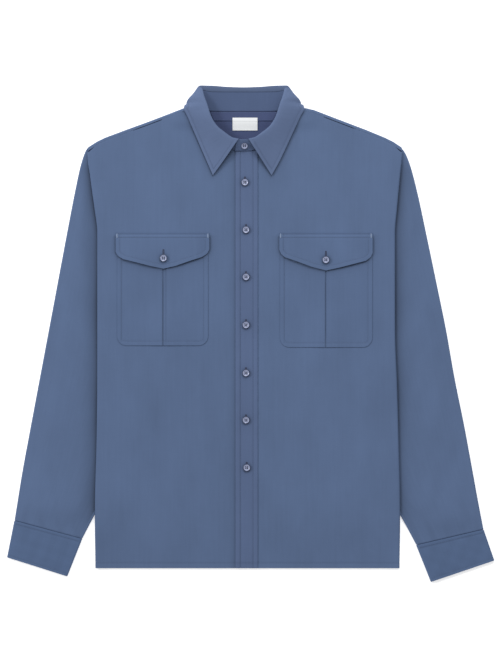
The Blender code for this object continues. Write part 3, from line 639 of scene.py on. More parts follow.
def weave_group():
    """Plain-woven chambray: slubs along the warp, mottling, and the crossing threads; the Shade input darkens
    the colour as painted shade.
    """
    group = bpy.data.node_groups.new("chambray_weave", "ShaderNodeTree")
    face = group.interface
    face.new_socket("Grain", in_out="INPUT", socket_type="NodeSocketVector")
    face.new_socket("Yarn", in_out="INPUT", socket_type="NodeSocketColor")
    for name, value in (("Slub", 0.07), ("Mottle", 0.26), ("Roughness", 0.82), ("Shade", 0.0)):
        face.new_socket(name, in_out="INPUT", socket_type="NodeSocketFloat").default_value = value
    face.new_socket("Colour", in_out="OUTPUT", socket_type="NodeSocketColor")
    face.new_socket("Roughness", in_out="OUTPUT", socket_type="NodeSocketFloat")
    face.new_socket("Height", in_out="OUTPUT", socket_type="NodeSocketFloat")
    link = group.links.new
    given = node(group, "NodeGroupInput", (-1200, 0))
    out = node(group, "NodeGroupOutput", (900, 0))

    def noise(at, scale, detail):
        place = node(group, "ShaderNodeVectorMath", at, operation="MULTIPLY")
        place.inputs[1].default_value = scale
        link(given.outputs["Grain"], place.inputs[0])
        cloud = node(group, "ShaderNodeTexNoise", (at[0] + 200, at[1]))
        cloud.inputs["Scale"].default_value = 1.0
        cloud.inputs["Detail"].default_value = detail
        link(place.outputs[0], cloud.inputs["Vector"])
        return cloud.outputs["Fac"]

    def sums(kind, at, a, b):
        made = node(group, "ShaderNodeMath", at, operation=kind)
        for socket, value in zip(made.inputs, (a, b)):
            if isinstance(value, float):
                socket.default_value = value
            else:
                link(value, socket)
        return made.outputs[0]

    streaks = noise((-1000, 400), (820.0, 34.0, 1.0), 2.0)
    slubs = noise((-1000, 200), (210.0, 9.0, 1.0), 1.0)
    clouds = noise((-1000, 0), (16.0, 10.0, 1.0), 3.0)
    wefts = noise((-1000, -200), (40.0, 900.0, 1.0), 2.0)
    lines = sums("ADD", (-560, 300), streaks, slubs)
    lines = sums("SUBTRACT", (-400, 300), lines, 1.0)
    lines = sums("MULTIPLY", (-240, 300), lines, given.outputs["Slub"])
    cross = sums("SUBTRACT", (-400, -150), wefts, 0.5)
    cross = sums("MULTIPLY", (-240, -150), cross, 0.06)
    spots = sums("SUBTRACT", (-400, 80), clouds, 0.5)
    spots = sums("MULTIPLY", (-240, 80), spots, given.outputs["Mottle"])
    tone = sums("ADD", (-80, 200), lines, spots)
    tone = sums("ADD", (60, 200), tone, cross)
    tone = sums("ADD", (200, 200), tone, 1.0)
    # Painted shade: the tone is darkened by the share given at the Shade input
    light = sums("SUBTRACT", (60, 340), 1.0, given.outputs["Shade"])
    tone = sums("MULTIPLY", (300, 300), tone, light)
    shade = node(group, "ShaderNodeVectorMath", (400, 260), operation="SCALE")
    link(given.outputs["Yarn"], shade.inputs[0])
    link(tone, shade.inputs["Scale"])
    link(shade.outputs[0], out.inputs["Colour"])
    link(given.outputs["Roughness"], out.inputs["Roughness"])

    apart = node(group, "ShaderNodeSeparateXYZ", (-1000, -420))
    link(given.outputs["Grain"], apart.inputs[0])
    threads = []
    for k, axis in enumerate(("X", "Y")):
        turns = sums("MULTIPLY", (-800, -380 - 160 * k), apart.outputs[axis], 2.0 * math.pi / 0.0009)
        threads.append(sums("SINE", (-640, -380 - 160 * k), turns, 0.0))
    crossing = sums("MULTIPLY", (-480, -460), threads[0], threads[1])
    yarns = sums("MULTIPLY", (-320, -460), crossing, 0.35)
    height = sums("ADD", (-160, -460), yarns, lines)
    link(height, out.inputs["Height"])
    return group


WEAVE = weave_group()


def principled(name):
    made = bpy.data.materials.new(name)
    made.use_nodes = True
    return made, made.node_tree, made.node_tree.nodes["Principled BSDF"]


def cloth_finish(name, colour, slub=0.07, mottle=0.26, bump=0.00012):
    made, tree, shader = principled(name)
    grain = node(tree, "ShaderNodeUVMap", (-800, 0), uv_map="grain")
    weave = node(tree, "ShaderNodeGroup", (-560, 0), node_tree=WEAVE)
    weave.inputs["Yarn"].default_value = (*colour, 1.0)
    weave.inputs["Slub"].default_value = slub
    weave.inputs["Mottle"].default_value = mottle
    # Painted shade: the shade attribute of each piece darkens its colour
    shade = node(tree, "ShaderNodeAttribute", (-800, -200), attribute_name="shade")
    bumps = node(tree, "ShaderNodeBump", (-260, -200))
    bumps.inputs["Strength"].default_value = 0.5
    bumps.inputs["Distance"].default_value = bump
    link = tree.links.new
    link(grain.outputs["UV"], weave.inputs["Grain"])
    link(shade.outputs["Fac"], weave.inputs["Shade"])
    link(weave.outputs["Colour"], shader.inputs["Base Color"])
    link(weave.outputs["Roughness"], shader.inputs["Roughness"])
    link(weave.outputs["Height"], bumps.inputs["Height"])
    link(bumps.outputs["Normal"], shader.inputs["Normal"])
    shader.inputs["Specular IOR Level"].default_value = 0.25
    made.diffuse_color = (*colour, 1.0)
    return made


def thread_finish(name, colour):
    """Twisted sewing thread: a fine spiral of light and dark along it."""
    made, tree, shader = principled(name)
    place = node(tree, "ShaderNodeTexCoord", (-800, 0))
    twist = node(tree, "ShaderNodeTexNoise", (-600, 0))
    twist.inputs["Scale"].default_value = 2600.0
    shades = node(tree, "ShaderNodeMapRange", (-420, 0))
    shades.inputs["To Min"].default_value = 0.82
    shades.inputs["To Max"].default_value = 1.18
    tint = node(tree, "ShaderNodeVectorMath", (-240, 0), operation="SCALE")
    tint.inputs[0].default_value = colour
    link = tree.links.new
    link(place.outputs["Object"], twist.inputs["Vector"])
    link(twist.outputs["Fac"], shades.inputs["Value"])
    link(shades.outputs["Result"], tint.inputs["Scale"])
    link(tint.outputs[0], shader.inputs["Base Color"])
    shader.inputs["Roughness"].default_value = 0.6
    made.diffuse_color = (*colour, 1.0)
    return made


def button_finish():
    """Pearly moulded button: pale and lightly clouded, with painted shade dark in the middle and round its
    side.
    """
    made, tree, shader = principled("button_pearl")
    unshaded_share = node(tree, "ShaderNodeAttribute", (-800, 120), attribute_name="unshaded_share")
    place = node(tree, "ShaderNodeTexCoord", (-1000, -120))
    cloud = node(tree, "ShaderNodeTexNoise", (-800, -120))
    cloud.inputs["Scale"].default_value = 420.0
    cloud.inputs["Detail"].default_value = 3.0
    sway = node(tree, "ShaderNodeMapRange", (-600, -120))
    sway.inputs["To Min"].default_value = -0.10
    sway.inputs["To Max"].default_value = 0.10
    total = node(tree, "ShaderNodeMath", (-420, 40), operation="ADD", use_clamp=True)
    blend = node(tree, "ShaderNodeMix", (-240, 60), data_type="RGBA")
    blend.inputs["A"].default_value = (*BUTTON_SHADE_DARK, 1.0)
    blend.inputs["B"].default_value = (*BUTTON_PALE, 1.0)
    rough = node(tree, "ShaderNodeMapRange", (-420, -320))
    rough.inputs["To Min"].default_value = 0.18
    rough.inputs["To Max"].default_value = 0.30
    link = tree.links.new
    link(place.outputs["Object"], cloud.inputs["Vector"])
    link(cloud.outputs["Fac"], sway.inputs["Value"])
    link(cloud.outputs["Fac"], rough.inputs["Value"])
    link(unshaded_share.outputs["Fac"], total.inputs[0])
    link(sway.outputs["Result"], total.inputs[1])
    link(total.outputs[0], blend.inputs["Factor"])
    link(blend.outputs["Result"], shader.inputs["Base Color"])
    link(rough.outputs["Result"], shader.inputs["Roughness"])
    shader.inputs["Coat Weight"].default_value = 0.4
    shader.inputs["Coat Roughness"].default_value = 0.12
    made.diffuse_color = (*BUTTON_SHADE_DARK, 1.0)
    return made


FINISH = {
    "cloth": cloth_finish("blue_chambray", CLOTH),
    "collar": cloth_finish("blue_chambray_collar", COLLAR_CLOTH),
    "band": cloth_finish("blue_chambray_band", BAND_CLOTH),
    "patch": cloth_finish("blue_chambray_patch", PATCH_CLOTH),
    "cuff": cloth_finish("blue_chambray_cuff", CUFF_CLOTH, mottle=0.34),
    "inside": cloth_finish("blue_chambray_inside_shaded", CLOTH_INSIDE_SHADED),
    "stand": cloth_finish("blue_chambray_stand_shaded", STAND_INSIDE_SHADED),
    "thread": thread_finish("blue_thread", THREAD),
    "thread_painted_dark": thread_finish("dark_blue_thread_painted_shade", DARK_THREAD_AS_SHADE),
    "pale_thread": thread_finish("pale_blue_thread", PALE_THREAD),
    "label": cloth_finish("white_satin_label", LABEL_WHITE, slub=0.03, mottle=0.03, bump=0.00005),
    "white_thread": thread_finish("white_thread", LABEL_WHITE),
    "button": button_finish(),
}


# Making pieces


def only(obj):
    """Selects nothing but this piece."""
    for other in bpy.context.selected_objects:
        other.select_set(False)
    obj.select_set(True)
    bpy.context.view_layer.objects.active = obj


def bare():
    for other in bpy.context.selected_objects:
        other.select_set(False)


def apply_modifiers(obj):
    only(obj)
    for modifier in list(obj.modifiers):
        bpy.ops.object.modifier_apply(modifier=modifier.name)


def keep(obj):
    """The piece lies with the rest of the shirt."""
    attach(obj, "root")
    return obj


def grain_along(points):
    """The place of each point on the cut cloth, in metres along the rows and the columns."""
    middle_row = points[points.shape[0] // 2]
    middle_column = points[:, points.shape[1] // 2]
    u = np.concatenate([[0.0], np.cumsum(np.linalg.norm(np.diff(middle_row, axis=0), axis=1))])
    v = np.concatenate([[0.0], np.cumsum(np.linalg.norm(np.diff(middle_column, axis=0), axis=1))])
    return np.stack(np.meshgrid(u, v), axis=-1) * MM


def plane_grain(points):
    return points[..., :2] * MM


def sheet(
    node_name, points, grain, wall, grows, finishes, shade=0.0, closed=False, folded_over=False
):
    """One piece of cloth over a grid of points, thickened and finished.

    The wall grows to the side that its faces point to (grows 1), to the other (-1) or both (0).
    The shade is the painted shade: how much darker the cloth is painted at each point.
    """
    rows, columns = points.shape[:2]
    indices = np.arange(rows * columns).reshape(rows, columns)
    if closed:
        indices = np.concatenate([indices, indices[:, :1]], axis=1)
    corners = [indices[:-1, :-1], indices[:-1, 1:], indices[1:, 1:], indices[1:, :-1]]
    faces = np.stack(corners, axis=-1).reshape(-1, 4)
    mesh = bpy.data.meshes.new(node_name + "_cloth")
    mesh.from_pydata((points.reshape(-1, 3) * MM).tolist(), [], faces.tolist())
    layer = mesh.uv_layers.new(name="grain")
    if closed:
        step = np.linalg.norm(points[:, 0] - points[:, -1], axis=1).mean() * MM
        last = grain[:, -1:].copy()
        last[..., 0] += step
        grain = np.concatenate([grain, last], axis=1)
    uv = np.stack([grain[:-1, :-1], grain[:-1, 1:], grain[1:, 1:], grain[1:, :-1]], axis=2)
    layer.data.foreach_set("uv", uv.reshape(-1).astype(np.float32))
    shades = np.broadcast_to(np.clip(shade, 0.0, 0.85), points.shape[:2]).reshape(-1)
    mesh.attributes.new("shade", "FLOAT", "POINT").data.foreach_set("value", shades.astype(np.float32))
    for finish in finishes:
        mesh.materials.append(FINISH[finish])
    made = bpy.data.objects.new(node_name + "_cloth", mesh)
    bpy.context.scene.collection.objects.link(made)
    thick = made.modifiers.new("wall", "SOLIDIFY")
    thick.thickness = wall * MM
    thick.offset = grows
    thick.use_quality_normals = True
    if len(finishes) > 1:
        thick.material_offset = 1
        thick.material_offset_rim = int(folded_over)
    edge = made.modifiers.new("turned_edge", "BEVEL")
    edge.width = EDGE_ROUND * MM
    edge.segments = 2
    edge.limit_method = "ANGLE"
    edge.angle_limit = math.radians(55.0)
    apply_modifiers(made)
    # What lies on the floor is flat there
    for vert in made.data.vertices:
        vert.co.z = max(vert.co.z, 0.0)
    made.data.shade_smooth()
    made.data.set_sharp_from_angle(angle=math.radians(50.0))
    keep(made)
    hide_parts(node_name)
    return made


def tube(node_name, sections, thick, wall, finishes, rises, shades, sewn_in=False):
    """A flattened tube whose sections run from its outer edge to its inner edge.

    A tube that is sewn in narrows past its last section and ends inside the next tube.
    """
    places = np.array([[*s.outer, *s.inner] for s in sections], float)
    reach = np.concatenate([[0.0], np.cumsum(np.linalg.norm(np.diff(places[:, :2], axis=0), axis=1))])
    long = reach[-1]
    near_seam = [0.0, 0.6, 1.6, 3.0, 4.4, 5.6, 7.0, 10.0]
    stations = spread(near_seam + [long - s for s in reversed(near_seam)], 5.0)
    if sewn_in:
        stations = np.concatenate([stations, long + np.array([0.3, 0.6, 1.4, 2.2])])
    heading = (places[-1] - places[-2]) / (reach[-1] - reach[-2])
    route = np.stack([curve(reach, places[:, k])(stations) for k in range(4)], axis=1)
    route += np.maximum(stations - long, 0.0)[:, None] * heading
    outer, inner = route[:, None, :2], route[:, None, 2:]
    span = np.linalg.norm(inner - outer, axis=-1, keepdims=True)
    along = (inner - outer) / span
    into = ease((stations - long + 0.3) / 0.9)[:, None] if sewn_in else np.zeros((len(stations), 1))
    high = mix(thick, SEWN_THICK, into)
    low = SEWN_RISE * into
    radius = high[..., None] / 2.0
    turns = np.radians(np.linspace(90.0, 270.0, 9))
    shares = np.linspace(0.0, 1.0, 64)[1:-1]
    under = np.linspace(0.0, 1.0, 16)[1:-1]
    aside = radius + SEWN_ASIDE * into[..., None]
    start, end = outer + along * aside, inner - along * aside
    around = [start + along * np.cos(turns)[None, :, None] * radius]
    heights = [high / 2.0 * (1.0 + np.sin(turns)[None, :]) + low]
    around.append(mix(start, end, under[None, :, None]))
    heights.append(np.broadcast_to(low, around[1].shape[:2]))
    around.append(end - along * np.cos(turns)[None, :, None] * radius)
    heights.append(high / 2.0 * (1.0 - np.sin(turns)[None, :]) + low)
    top = mix(end, start, shares[None, :, None])
    around.append(top)
    off_edge = np.minimum(shares[None, :], 1.0 - shares[None, :]) * span[..., 0]
    where = (top[..., 0], top[..., 1], off_edge, stations[:, None], long)
    heights.append(low + high + rises(*where) * (1.0 - into))
    flat = np.concatenate(around, axis=1)
    points = np.concatenate([flat, np.concatenate(heights, axis=1)[..., None]], axis=-1)
    # Painted shade, on the top layer only
    shade = np.zeros(points.shape[:2])
    shade[:, -len(shares) :] = shades(*where)
    middle = points[len(points) // 2]
    u = np.concatenate([[0.0], np.cumsum(np.linalg.norm(np.diff(middle, axis=0), axis=1))])
    grain = np.stack(np.meshgrid(u, stations), axis=-1) * MM
    if np.cross(flat[0, 0] - flat[0, 20], flat[-1, 0] - flat[0, 0]) < 0.0:
        points, grain, shade = points[::-1], grain[::-1], shade[::-1]
    return sheet(node_name, points, grain, wall, -1.0, finishes, shade, closed=True)


def sleeve_shade(side):
    """Painted shade: the sleeve is painted darker where it lies in the shade of the body beside it, wider and
    deeper on the high-x side, with painted shade of small gathers near the cuff and at the cuff seam.
    """
    sign = -1.0 if side == "low" else 1.0

    def shade(x, y, off_edge, along, long):
        beyond = sign * (x - BODY_AT[side](y))
        if side == "low":
            made = beside(beyond, 0.58, 6.0, 0.14, 28.0)
        else:
            tail = mix(0.30, 0.50, ease((y + 230.0) / 180.0))
            made = beside(beyond, 0.22, 3.0, tail, 14.0)
        made = made * (1.0 - 0.75 * ease((y - 255.0) / 35.0)) * (0.92 + 0.08 * np.sin(y / 27.0))
        gather_shade = 0.05 * np.sin(x / 4.1 + np.sin(y / 17.0) * 1.7) * ease((along - long + 34.0) / 30.0)
        return made + 0.10 * ease((along - long + 2.5) / 2.5) + np.maximum(gather_shade, 0.0)

    return shade


def cuff_shade(x, y, off_edge, along, long):
    """Painted shade: darker in the seams, and here and there where the layers of the cuff pucker."""
    edge = np.minimum(along, long - along)
    # Painted shade of puckers, here and there
    pucker = 0.035 * (1.0 + np.sin(x / 5.3 + y / 9.0) * np.sin(y / 4.7 - x / 13.0))
    return seam_shade(edge, 4.4) + pucker * ease(edge / 8.0)


def sleeve_rise(side):
    """The upper layer of a sleeve: full along its middle, low beside the body, softly folded."""
    sign = -1.0 if side == "low" else 1.0

    def rise(x, y, off_edge, along, long):
        beyond = sign * (x - BODY_AT[side](y))
        free = np.where(y < -300.0, 40.0, beyond)
        puff = ease(free / PUFF_FROM_BODY) * ease(off_edge / PUFF_FROM_EDGE)
        ends = ease((long - along) / 30.0)
        folds = creases_at(SLEEVE_CREASES, x, y) * ease(free / 12.0) * ease(off_edge / 12.0)
        return (SLEEVE_PUFF * puff + folds) * ends

    return rise


def cuff_rise(x, y, off_edge, along, long):
    """Stitching beside the sleeve seam and along the wrist edge."""
    edge = np.minimum(along, long - along)
    return seam_dip(edge, 4.4) + 0.6 * ease(off_edge / 24.0) * ease(edge / 20.0)


# The cloth pieces


def back():
    ys = spread([HEM_Y, YOKE_SEAM_Y - GAP], 6.0)
    low, high = BODY_AT["low"](ys) + GAP, BODY_AT["high"](ys) - GAP
    shares = np.linspace(0.0, 1.0, 90)
    xs = mix(low[:, None], high[:, None], shares[None, :])
    points = grid(xs, np.broadcast_to(ys[:, None], xs.shape), lift_at)
    return sheet("back", points, plane_grain(points), WALL, 1.0, ("inside", "cloth"))


def yoke():
    """From the back seam up to the shoulder fold, over it and down to the front seam."""
    tops_x = [top.x for top in YOKE_TOP]
    xs = spread(tops_x, 4.0)
    ys = np.interp(xs, tops_x, [top.y for top in YOKE_TOP])
    folded = np.interp(xs, tops_x, [top.folded for top in YOKE_TOP])
    near = ys - YOKE_TURN_AT
    base = lift_at(xs, near)
    radius = (2.0 * WALL + hollow_at(xs, near)) / 2.0
    rows = []
    for rise in np.linspace(0.0, 1.0, 22)[:-1]:
        y = mix(YOKE_SEAM_Y, ys - YOKE_TURN_FROM, rise)
        x = np.clip(xs, BODY_AT["low"](y) + GAP, BODY_AT["high"](y) - GAP)
        rows.append(np.stack([x, y, lift_at(x, y)], axis=-1))
    turns = np.radians(np.linspace(-90.0, 90.0, 11))
    for k, turn in enumerate(turns):
        y = mix(ys - YOKE_EDGE_RUN + 0.4 * k, ys - radius + radius * math.cos(turn), folded)
        z = mix(base, base + radius + radius * math.sin(turn), folded)
        rows.append(np.stack([xs, y, z], axis=-1))
    seam_y = mix(ys, ys - SHOULDER_SEAM_DROP + GAP, folded)
    seam_z = mix(base, front_top(xs, seam_y), folded)
    last = rows[-1]
    for share in (0.4, 0.75, 1.0):
        y = mix(last[:, 1], seam_y, share)
        z = mix(last[:, 2], seam_z, share)
        rows.append(np.stack([xs, y, z], axis=-1))
    points = np.array(rows)
    finishes = ("inside", "cloth")
    return sheet("yoke", points, grain_along(points), WALL, 1.0, finishes, folded_over=True)


def front_shade(side, x, y):
    """Painted shade: the cloth is painted darker in the hollows of the folds, in the hem and beside the band,
    the leaf and the flap.
    """
    folds = np.clip(creases_at(CREASES, x, y), -1.0, 1.0)
    shade = FOLD_SHADE * (1.0 - folds) + seam_shade(y - HEM_Y, HEM_STITCH)
    shade = shade + beside(line_distance(x, y, leaf_line(side)), 0.36, 2.4, 0.10, 9.0)
    off = line_distance(x, y, flap_line(FLAPS[side]))
    shade = shade + beside(off, 0.30, 2.4, 0.08, 8.0) * (y < FLAP_TOP_Y - 4.0)
    if side == "low":
        shade = shade + beside(PLACKET_X[0] - x, 0.26, 3.0, 0.05, 9.0)
    return shade


def front_panel(node_name, centre_x, side, tops):
    """tops: the place where each column ends, from the centre to the side."""
    sign = -1.0 if side == "low" else 1.0
    tops = spread_points(tops, 3.2)
    near_hem = [0.0, 0.8, 2.0, 4.0, 6.0, 7.2, 7.8, 8.3, 8.8, 9.4, 10.6, 13.0]
    height = SIDE_TOP_Y - HEM_Y
    t = spread([h / height for h in near_hem] + [1.0], 3.4 / height)
    side_y = mix(HEM_Y, SIDE_TOP_Y, t)
    edge = BODY_AT[side](side_y)
    start = edge - sign * (WALL + SIDE_ROLL)
    share = (tops[:, 0] - centre_x) / (tops[-1, 0] - centre_x)
    xs = mix(centre_x, start[:, None], share[None, :])
    ys = mix(HEM_Y, tops[None, :, 1], t[:, None])
    points = grid(xs, ys, lambda x, y: front_under(x, y) + hem_at(y))
    foot = np.maximum(back_top(start, side_y), back_top(edge, side_y)) + SIDE_GAP
    drop = front_under(start, side_y) + hem_at(side_y) - foot
    rolled = []
    for turn in np.radians(np.linspace(0.0, 90.0, 9)[1:]):
        x = start + sign * SIDE_ROLL * math.sin(turn)
        rolled.append(np.stack([x, side_y, foot + drop * math.cos(turn)], axis=-1))
    points = np.concatenate([points, np.stack(rolled, axis=1)], axis=1)
    if side == "low":
        points = points[:, ::-1]
    shade = front_shade(side, points[..., 0], points[..., 1])
    finishes = ("cloth", "inside")
    return sheet(node_name, points, plane_grain(points), WALL, 1.0, finishes, shade)


def shoulder_seam(xs):
    return [(x, float(shoulder_y(x)) - SHOULDER_SEAM_DROP + SHOULDER_TUCK) for x in xs]


def fronts():
    low_x = float(BODY_AT["low"](SIDE_TOP_Y)) + WALL + SIDE_ROLL
    high_x = float(BODY_AT["high"](SIDE_TOP_Y)) - WALL - SIDE_ROLL
    low = [FRONT_RIGHT_END, *reversed(FRONT_NECKLINE)]
    low += shoulder_seam((-112.0, -130.6, -164.2, -199.4, -233.0, -245.8)) + [(low_x, SIDE_TOP_Y)]
    front_panel("front_right", FRONT_RIGHT_END[0], "low", low)
    mirrored_neck = [(2.0 * NECK_X - p.x, p.y) for p in reversed(FRONT_NECKLINE)]
    high = [FRONT_LEFT_START] + [p for p in mirrored_neck if p[0] > FRONT_LEFT_START[0] + NECK_STEP]
    high += shoulder_seam((84.0, 101.4, 117.4, 151.0, 184.6, 215.0, 227.8)) + [(high_x, SIDE_TOP_Y)]
    front_panel("front_left", FRONT_LEFT_START[0], "high", high)


def placket_under(x, y):
    return front_top(x, y) + SEWN_GAP


def placket():
    low, high = PLACKET_X
    near = [0.0, 0.5, 1.4, 3.0, 5.2]
    stitched = [s + d for s in PLACKET_STITCH_X for d in (-1.6, -0.8, 0.0, 0.8, 1.6)]
    xs = spread(sorted([low + n for n in near] + stitched + [high - n for n in near]), 2.6)
    ys = spread([HEM_Y, PLACKET_TOP_Y], 3.0)
    xs, ys = np.meshgrid(xs, ys)

    def height(x, y):
        dips = sum(np.exp(-(((x - s) / STITCH_SINK_WIDE) ** 2)) for s in PLACKET_STITCH_X)
        off = np.minimum(x - low, high - x)
        outside = np.maximum(PLACKET_STITCH_X[0] - x, x - PLACKET_STITCH_X[1])
        folded = TURNED_EDGE * ease(outside / STITCH_SINK_WIDE) * ease(off / 1.4 + 0.3)
        pucker = 0.12 * np.sin(y / 5.3 + np.sin(y / 21.0) * 2.0) * ease(outside / 4.0)
        return placket_under(x, y) + folded - STITCH_SINK * dips + pucker

    points = grid(xs, ys, height)
    # Painted shade in the stitching lines and the hem, and round the buttons
    shade = sum(seam_shade(xs, s) for s in PLACKET_STITCH_X) + seam_shade(ys - HEM_Y, HEM_STITCH)
    shade = shade + buttons_shade(xs, ys, FRONT_BUTTONS)
    return sheet("placket", points, plane_grain(points), PLACKET_WALL, 1.0, ("band",), shade)


def pocket_bottom(pocket, x):
    """The lower edge, with its two corners rounded."""
    inside = np.minimum(x - pocket.low, pocket.high - x)
    from_corner = np.clip(pocket.corner - inside, 0.0, pocket.corner)
    return pocket.bottom + pocket.corner - np.sqrt(pocket.corner**2 - from_corner**2)


def pocket_under(pocket, x, y):
    """The pocket lies on its front and rises towards the two folds of its pleat."""
    low = (x - pocket.pleat_low) / PLEAT_REACH + 1.0
    high = (pocket.pleat_high - x) / PLEAT_REACH + 1.0
    near = np.where(x <= pocket.pleat_low, low, np.where(x >= pocket.pleat_high, high, PLEAT_BETWEEN))
    sewn = ease((y - pocket.bottom) / PLEAT_SEWN_REACH)
    return front_top(x, y) + POCKET_GAP + PLEAT_RISE * ease(near) * mix(PLEAT_SEWN_SHARE, 1.0, sewn)


def pocket_edge(pocket, x, y):
    """How far a place is inside the sewn sides and bottom of the pocket."""
    side = np.minimum(x - pocket.low, pocket.high - x)
    return np.minimum(side, y - pocket.bottom)


def patch_pocket(pocket):
    near = [0.0, 0.4, 1.2, 2.6, 4.2, 5.4, 6.1, 6.8, 7.5, 8.2, 9.6, 12.0, 15.0]
    fold = [0.0, 0.4, 1.2, 2.4, 4.5, 8.0]
    xs = [pocket.low + n for n in near] + [pocket.pleat_low - f for f in reversed(fold)]
    xs += [pocket.pleat_low + 0.35, pocket.pleat_high - 0.35]
    xs += [pocket.pleat_high + f for f in fold] + [pocket.high - n for n in reversed(near)]
    xs = spread(xs, 3.0)
    tall = pocket.top - pocket.bottom
    t = spread([n / tall for n in near] + [1.0], 4.0 / tall)
    bottoms = pocket_bottom(pocket, xs)
    ys = mix(bottoms[None, :], pocket.top, t[:, None])
    xs = np.broadcast_to(xs[None, :], ys.shape)

    def height(x, y):
        return pocket_under(pocket, x, y) + seam_dip(pocket_edge(pocket, x, y), POCKET_STITCH)

    points = grid(xs, ys, height)
    edge = FLAP_EDGES[POCKETS.index(pocket)]
    # Painted shade in the stitching, beside the flap's edge and in the two folds of the pleat
    shade = seam_shade(pocket_edge(pocket, xs, ys), POCKET_STITCH, 0.10)
    shade = shade + beside(line_distance(xs, ys, flap_line(edge)), 0.40, 2.2, 0.13, 10.0)
    sharp = mix(0.35, 1.0, ease((96.0 - ys) / 26.0))
    shade = shade + 0.34 * sharp * np.exp(-(((xs - pocket.pleat_low - 0.4) / 0.8) ** 2))
    shade = shade + 0.12 * np.exp(-(((xs - pocket.pleat_high + 0.3) / 0.8) ** 2))
    name = "pocket_" + pocket.name
    return sheet(name, points, plane_grain(points), POCKET_WALL, 1.0, ("patch",), shade)


def flap_line(edge):
    """The free sides and lower edge of a flap, seen from above."""
    return [(edge[0].x, FLAP_TOP_Y), *edge, (edge[-1].x, FLAP_TOP_Y)]


FLAPS = dict(zip(("low", "high"), FLAP_EDGES))


def flap_under(pocket, x, y):
    """Sewn to the front along its top, then over the pocket."""
    seam_y = FLAP_TOP_Y - FLAP_SEAM
    over = ease((seam_y - y) / (seam_y - FLAP_OVER_Y))
    fall = ease((FLAP_TOP_Y - y) / FLAP_FRONT_REACH)
    side = ease(np.minimum(x - pocket.low, pocket.high - x) / FLAP_SIDE_REACH)
    pleat = PLEAT_RISE * mix(FLAP_SIDE_SHARE, 1.0, side)
    return front_top(x, y) + SEWN_GAP + (POCKET_WALL + GAP + pleat) * over + FLAP_FRONT_RISE * fall * side


def flap(pocket, edge):
    low, high = edge[0].x, edge[-1].x
    near = [0.0, 0.4, 1.2, 2.6, 4.2, 5.3, 6.4, 7.5, 8.6]
    xs = [low + n for n in near] + [p.x for p in edge[3:-3]] + [high - n for n in reversed(near)]
    xs = spread(sorted(xs), 2.2)
    edge_y = np.interp(xs, [p.x for p in edge], [p.y for p in edge])
    tall = FLAP_OVER_Y - edge_y.min()
    t = spread([n / tall for n in near] + [1.0], 3.0 / tall)
    upper = np.array([1.0, 2.4, 3.6, 5.0, 6.4, 7.6, 8.6, 9.2, 9.8])
    ys = np.concatenate([
        mix(edge_y[None, :], FLAP_OVER_Y, t[:, None]),
        np.broadcast_to(FLAP_OVER_Y + upper[:, None], (len(upper), len(xs))),
    ])
    xs = np.broadcast_to(xs[None, :], ys.shape)

    def height(x, y):
        below = y - np.interp(x, [p.x for p in edge], [p.y for p in edge])
        off = np.minimum(np.minimum(x - low, high - x), below * 0.97)
        top = sum(np.exp(-(((y - s) / STITCH_SINK_WIDE) ** 2)) for s in FLAP_TOP_STITCHES)
        return flap_under(pocket, x, y) + seam_dip(off, FLAP_STITCH) - STITCH_SINK * top

    points = grid(xs, ys, height)
    # Painted shade in the stitching and round the button
    off = line_distance(xs, ys, flap_line(edge))
    shade = seam_shade(off, FLAP_STITCH, 0.09) * (ys < FLAP_OVER_Y) + seam_shade(ys, FLAP_TOP_STITCHES[0])
    shade = shade + seam_shade(ys, FLAP_TOP_STITCHES[1], 0.26)
    shade = shade + buttons_shade(xs, ys, ("button_flap_" + pocket.name,))
    name = "flap_" + pocket.name
    return sheet(name, points, plane_grain(points), FLAP_WALL, 1.0, ("patch",), shade)


def mirrored(point, raised):
    return (2.0 * NECK_X - point[0], point[1], point[2] + raised)


def collar_stand():
    """A band from the low-x end under the overlap, round the back, to the high-x end on top."""
    stations = [(s.foot, s.seam) for s in STAND]
    for s in reversed(STAND[:-1]):
        raised = STAND_OVERLAP * s.over
        stations.append((mirrored(s.foot, raised), mirrored(s.seam, raised)))
    stations = np.array(stations, float)
    count = len(stations)
    at = np.linspace(0.0, count - 1.0, 161)
    route = np.stack([curve(range(count), stations[:, e, k])(at) for e in range(2) for k in range(3)], axis=1)
    foot, seam = route[:, :3], route[:, 3:]
    shares = np.linspace(0.0, 1.0, 13)
    points = mix(foot[None], seam[None], shares[:, None, None])
    finishes = ("stand", "band")
    return sheet("collar_stand", points, grain_along(points), COLLAR_WALL, 0.0, finishes)


def collar_stations():
    stations = []
    for s in FALL:
        seam = (s.seam[0], s.seam[1], s.seam[2] + FALL_ABOVE_STAND)
        stations.append((seam, s.roll, s.crown, s.edge))
    for s in reversed(FALL[:-1]):
        raised = STAND_OVERLAP * s.over
        edge = mirrored(s.edge, 0.0)
        stations.append((
            mirrored(s.seam, raised + FALL_ABOVE_STAND),
            mirrored(s.roll, raised),
            mirrored(s.crown, 0.0),
            (edge[0] + s.shift, edge[1], edge[2]),
        ))
    return np.array(stations, float)


def leaf_line(side):
    """The free edges of one leaf, seen from above."""
    stations = collar_stations()
    if side == "high":
        stations = stations[::-1]
    return [stations[0, 0, :2], *stations[:7, 3, :2]]


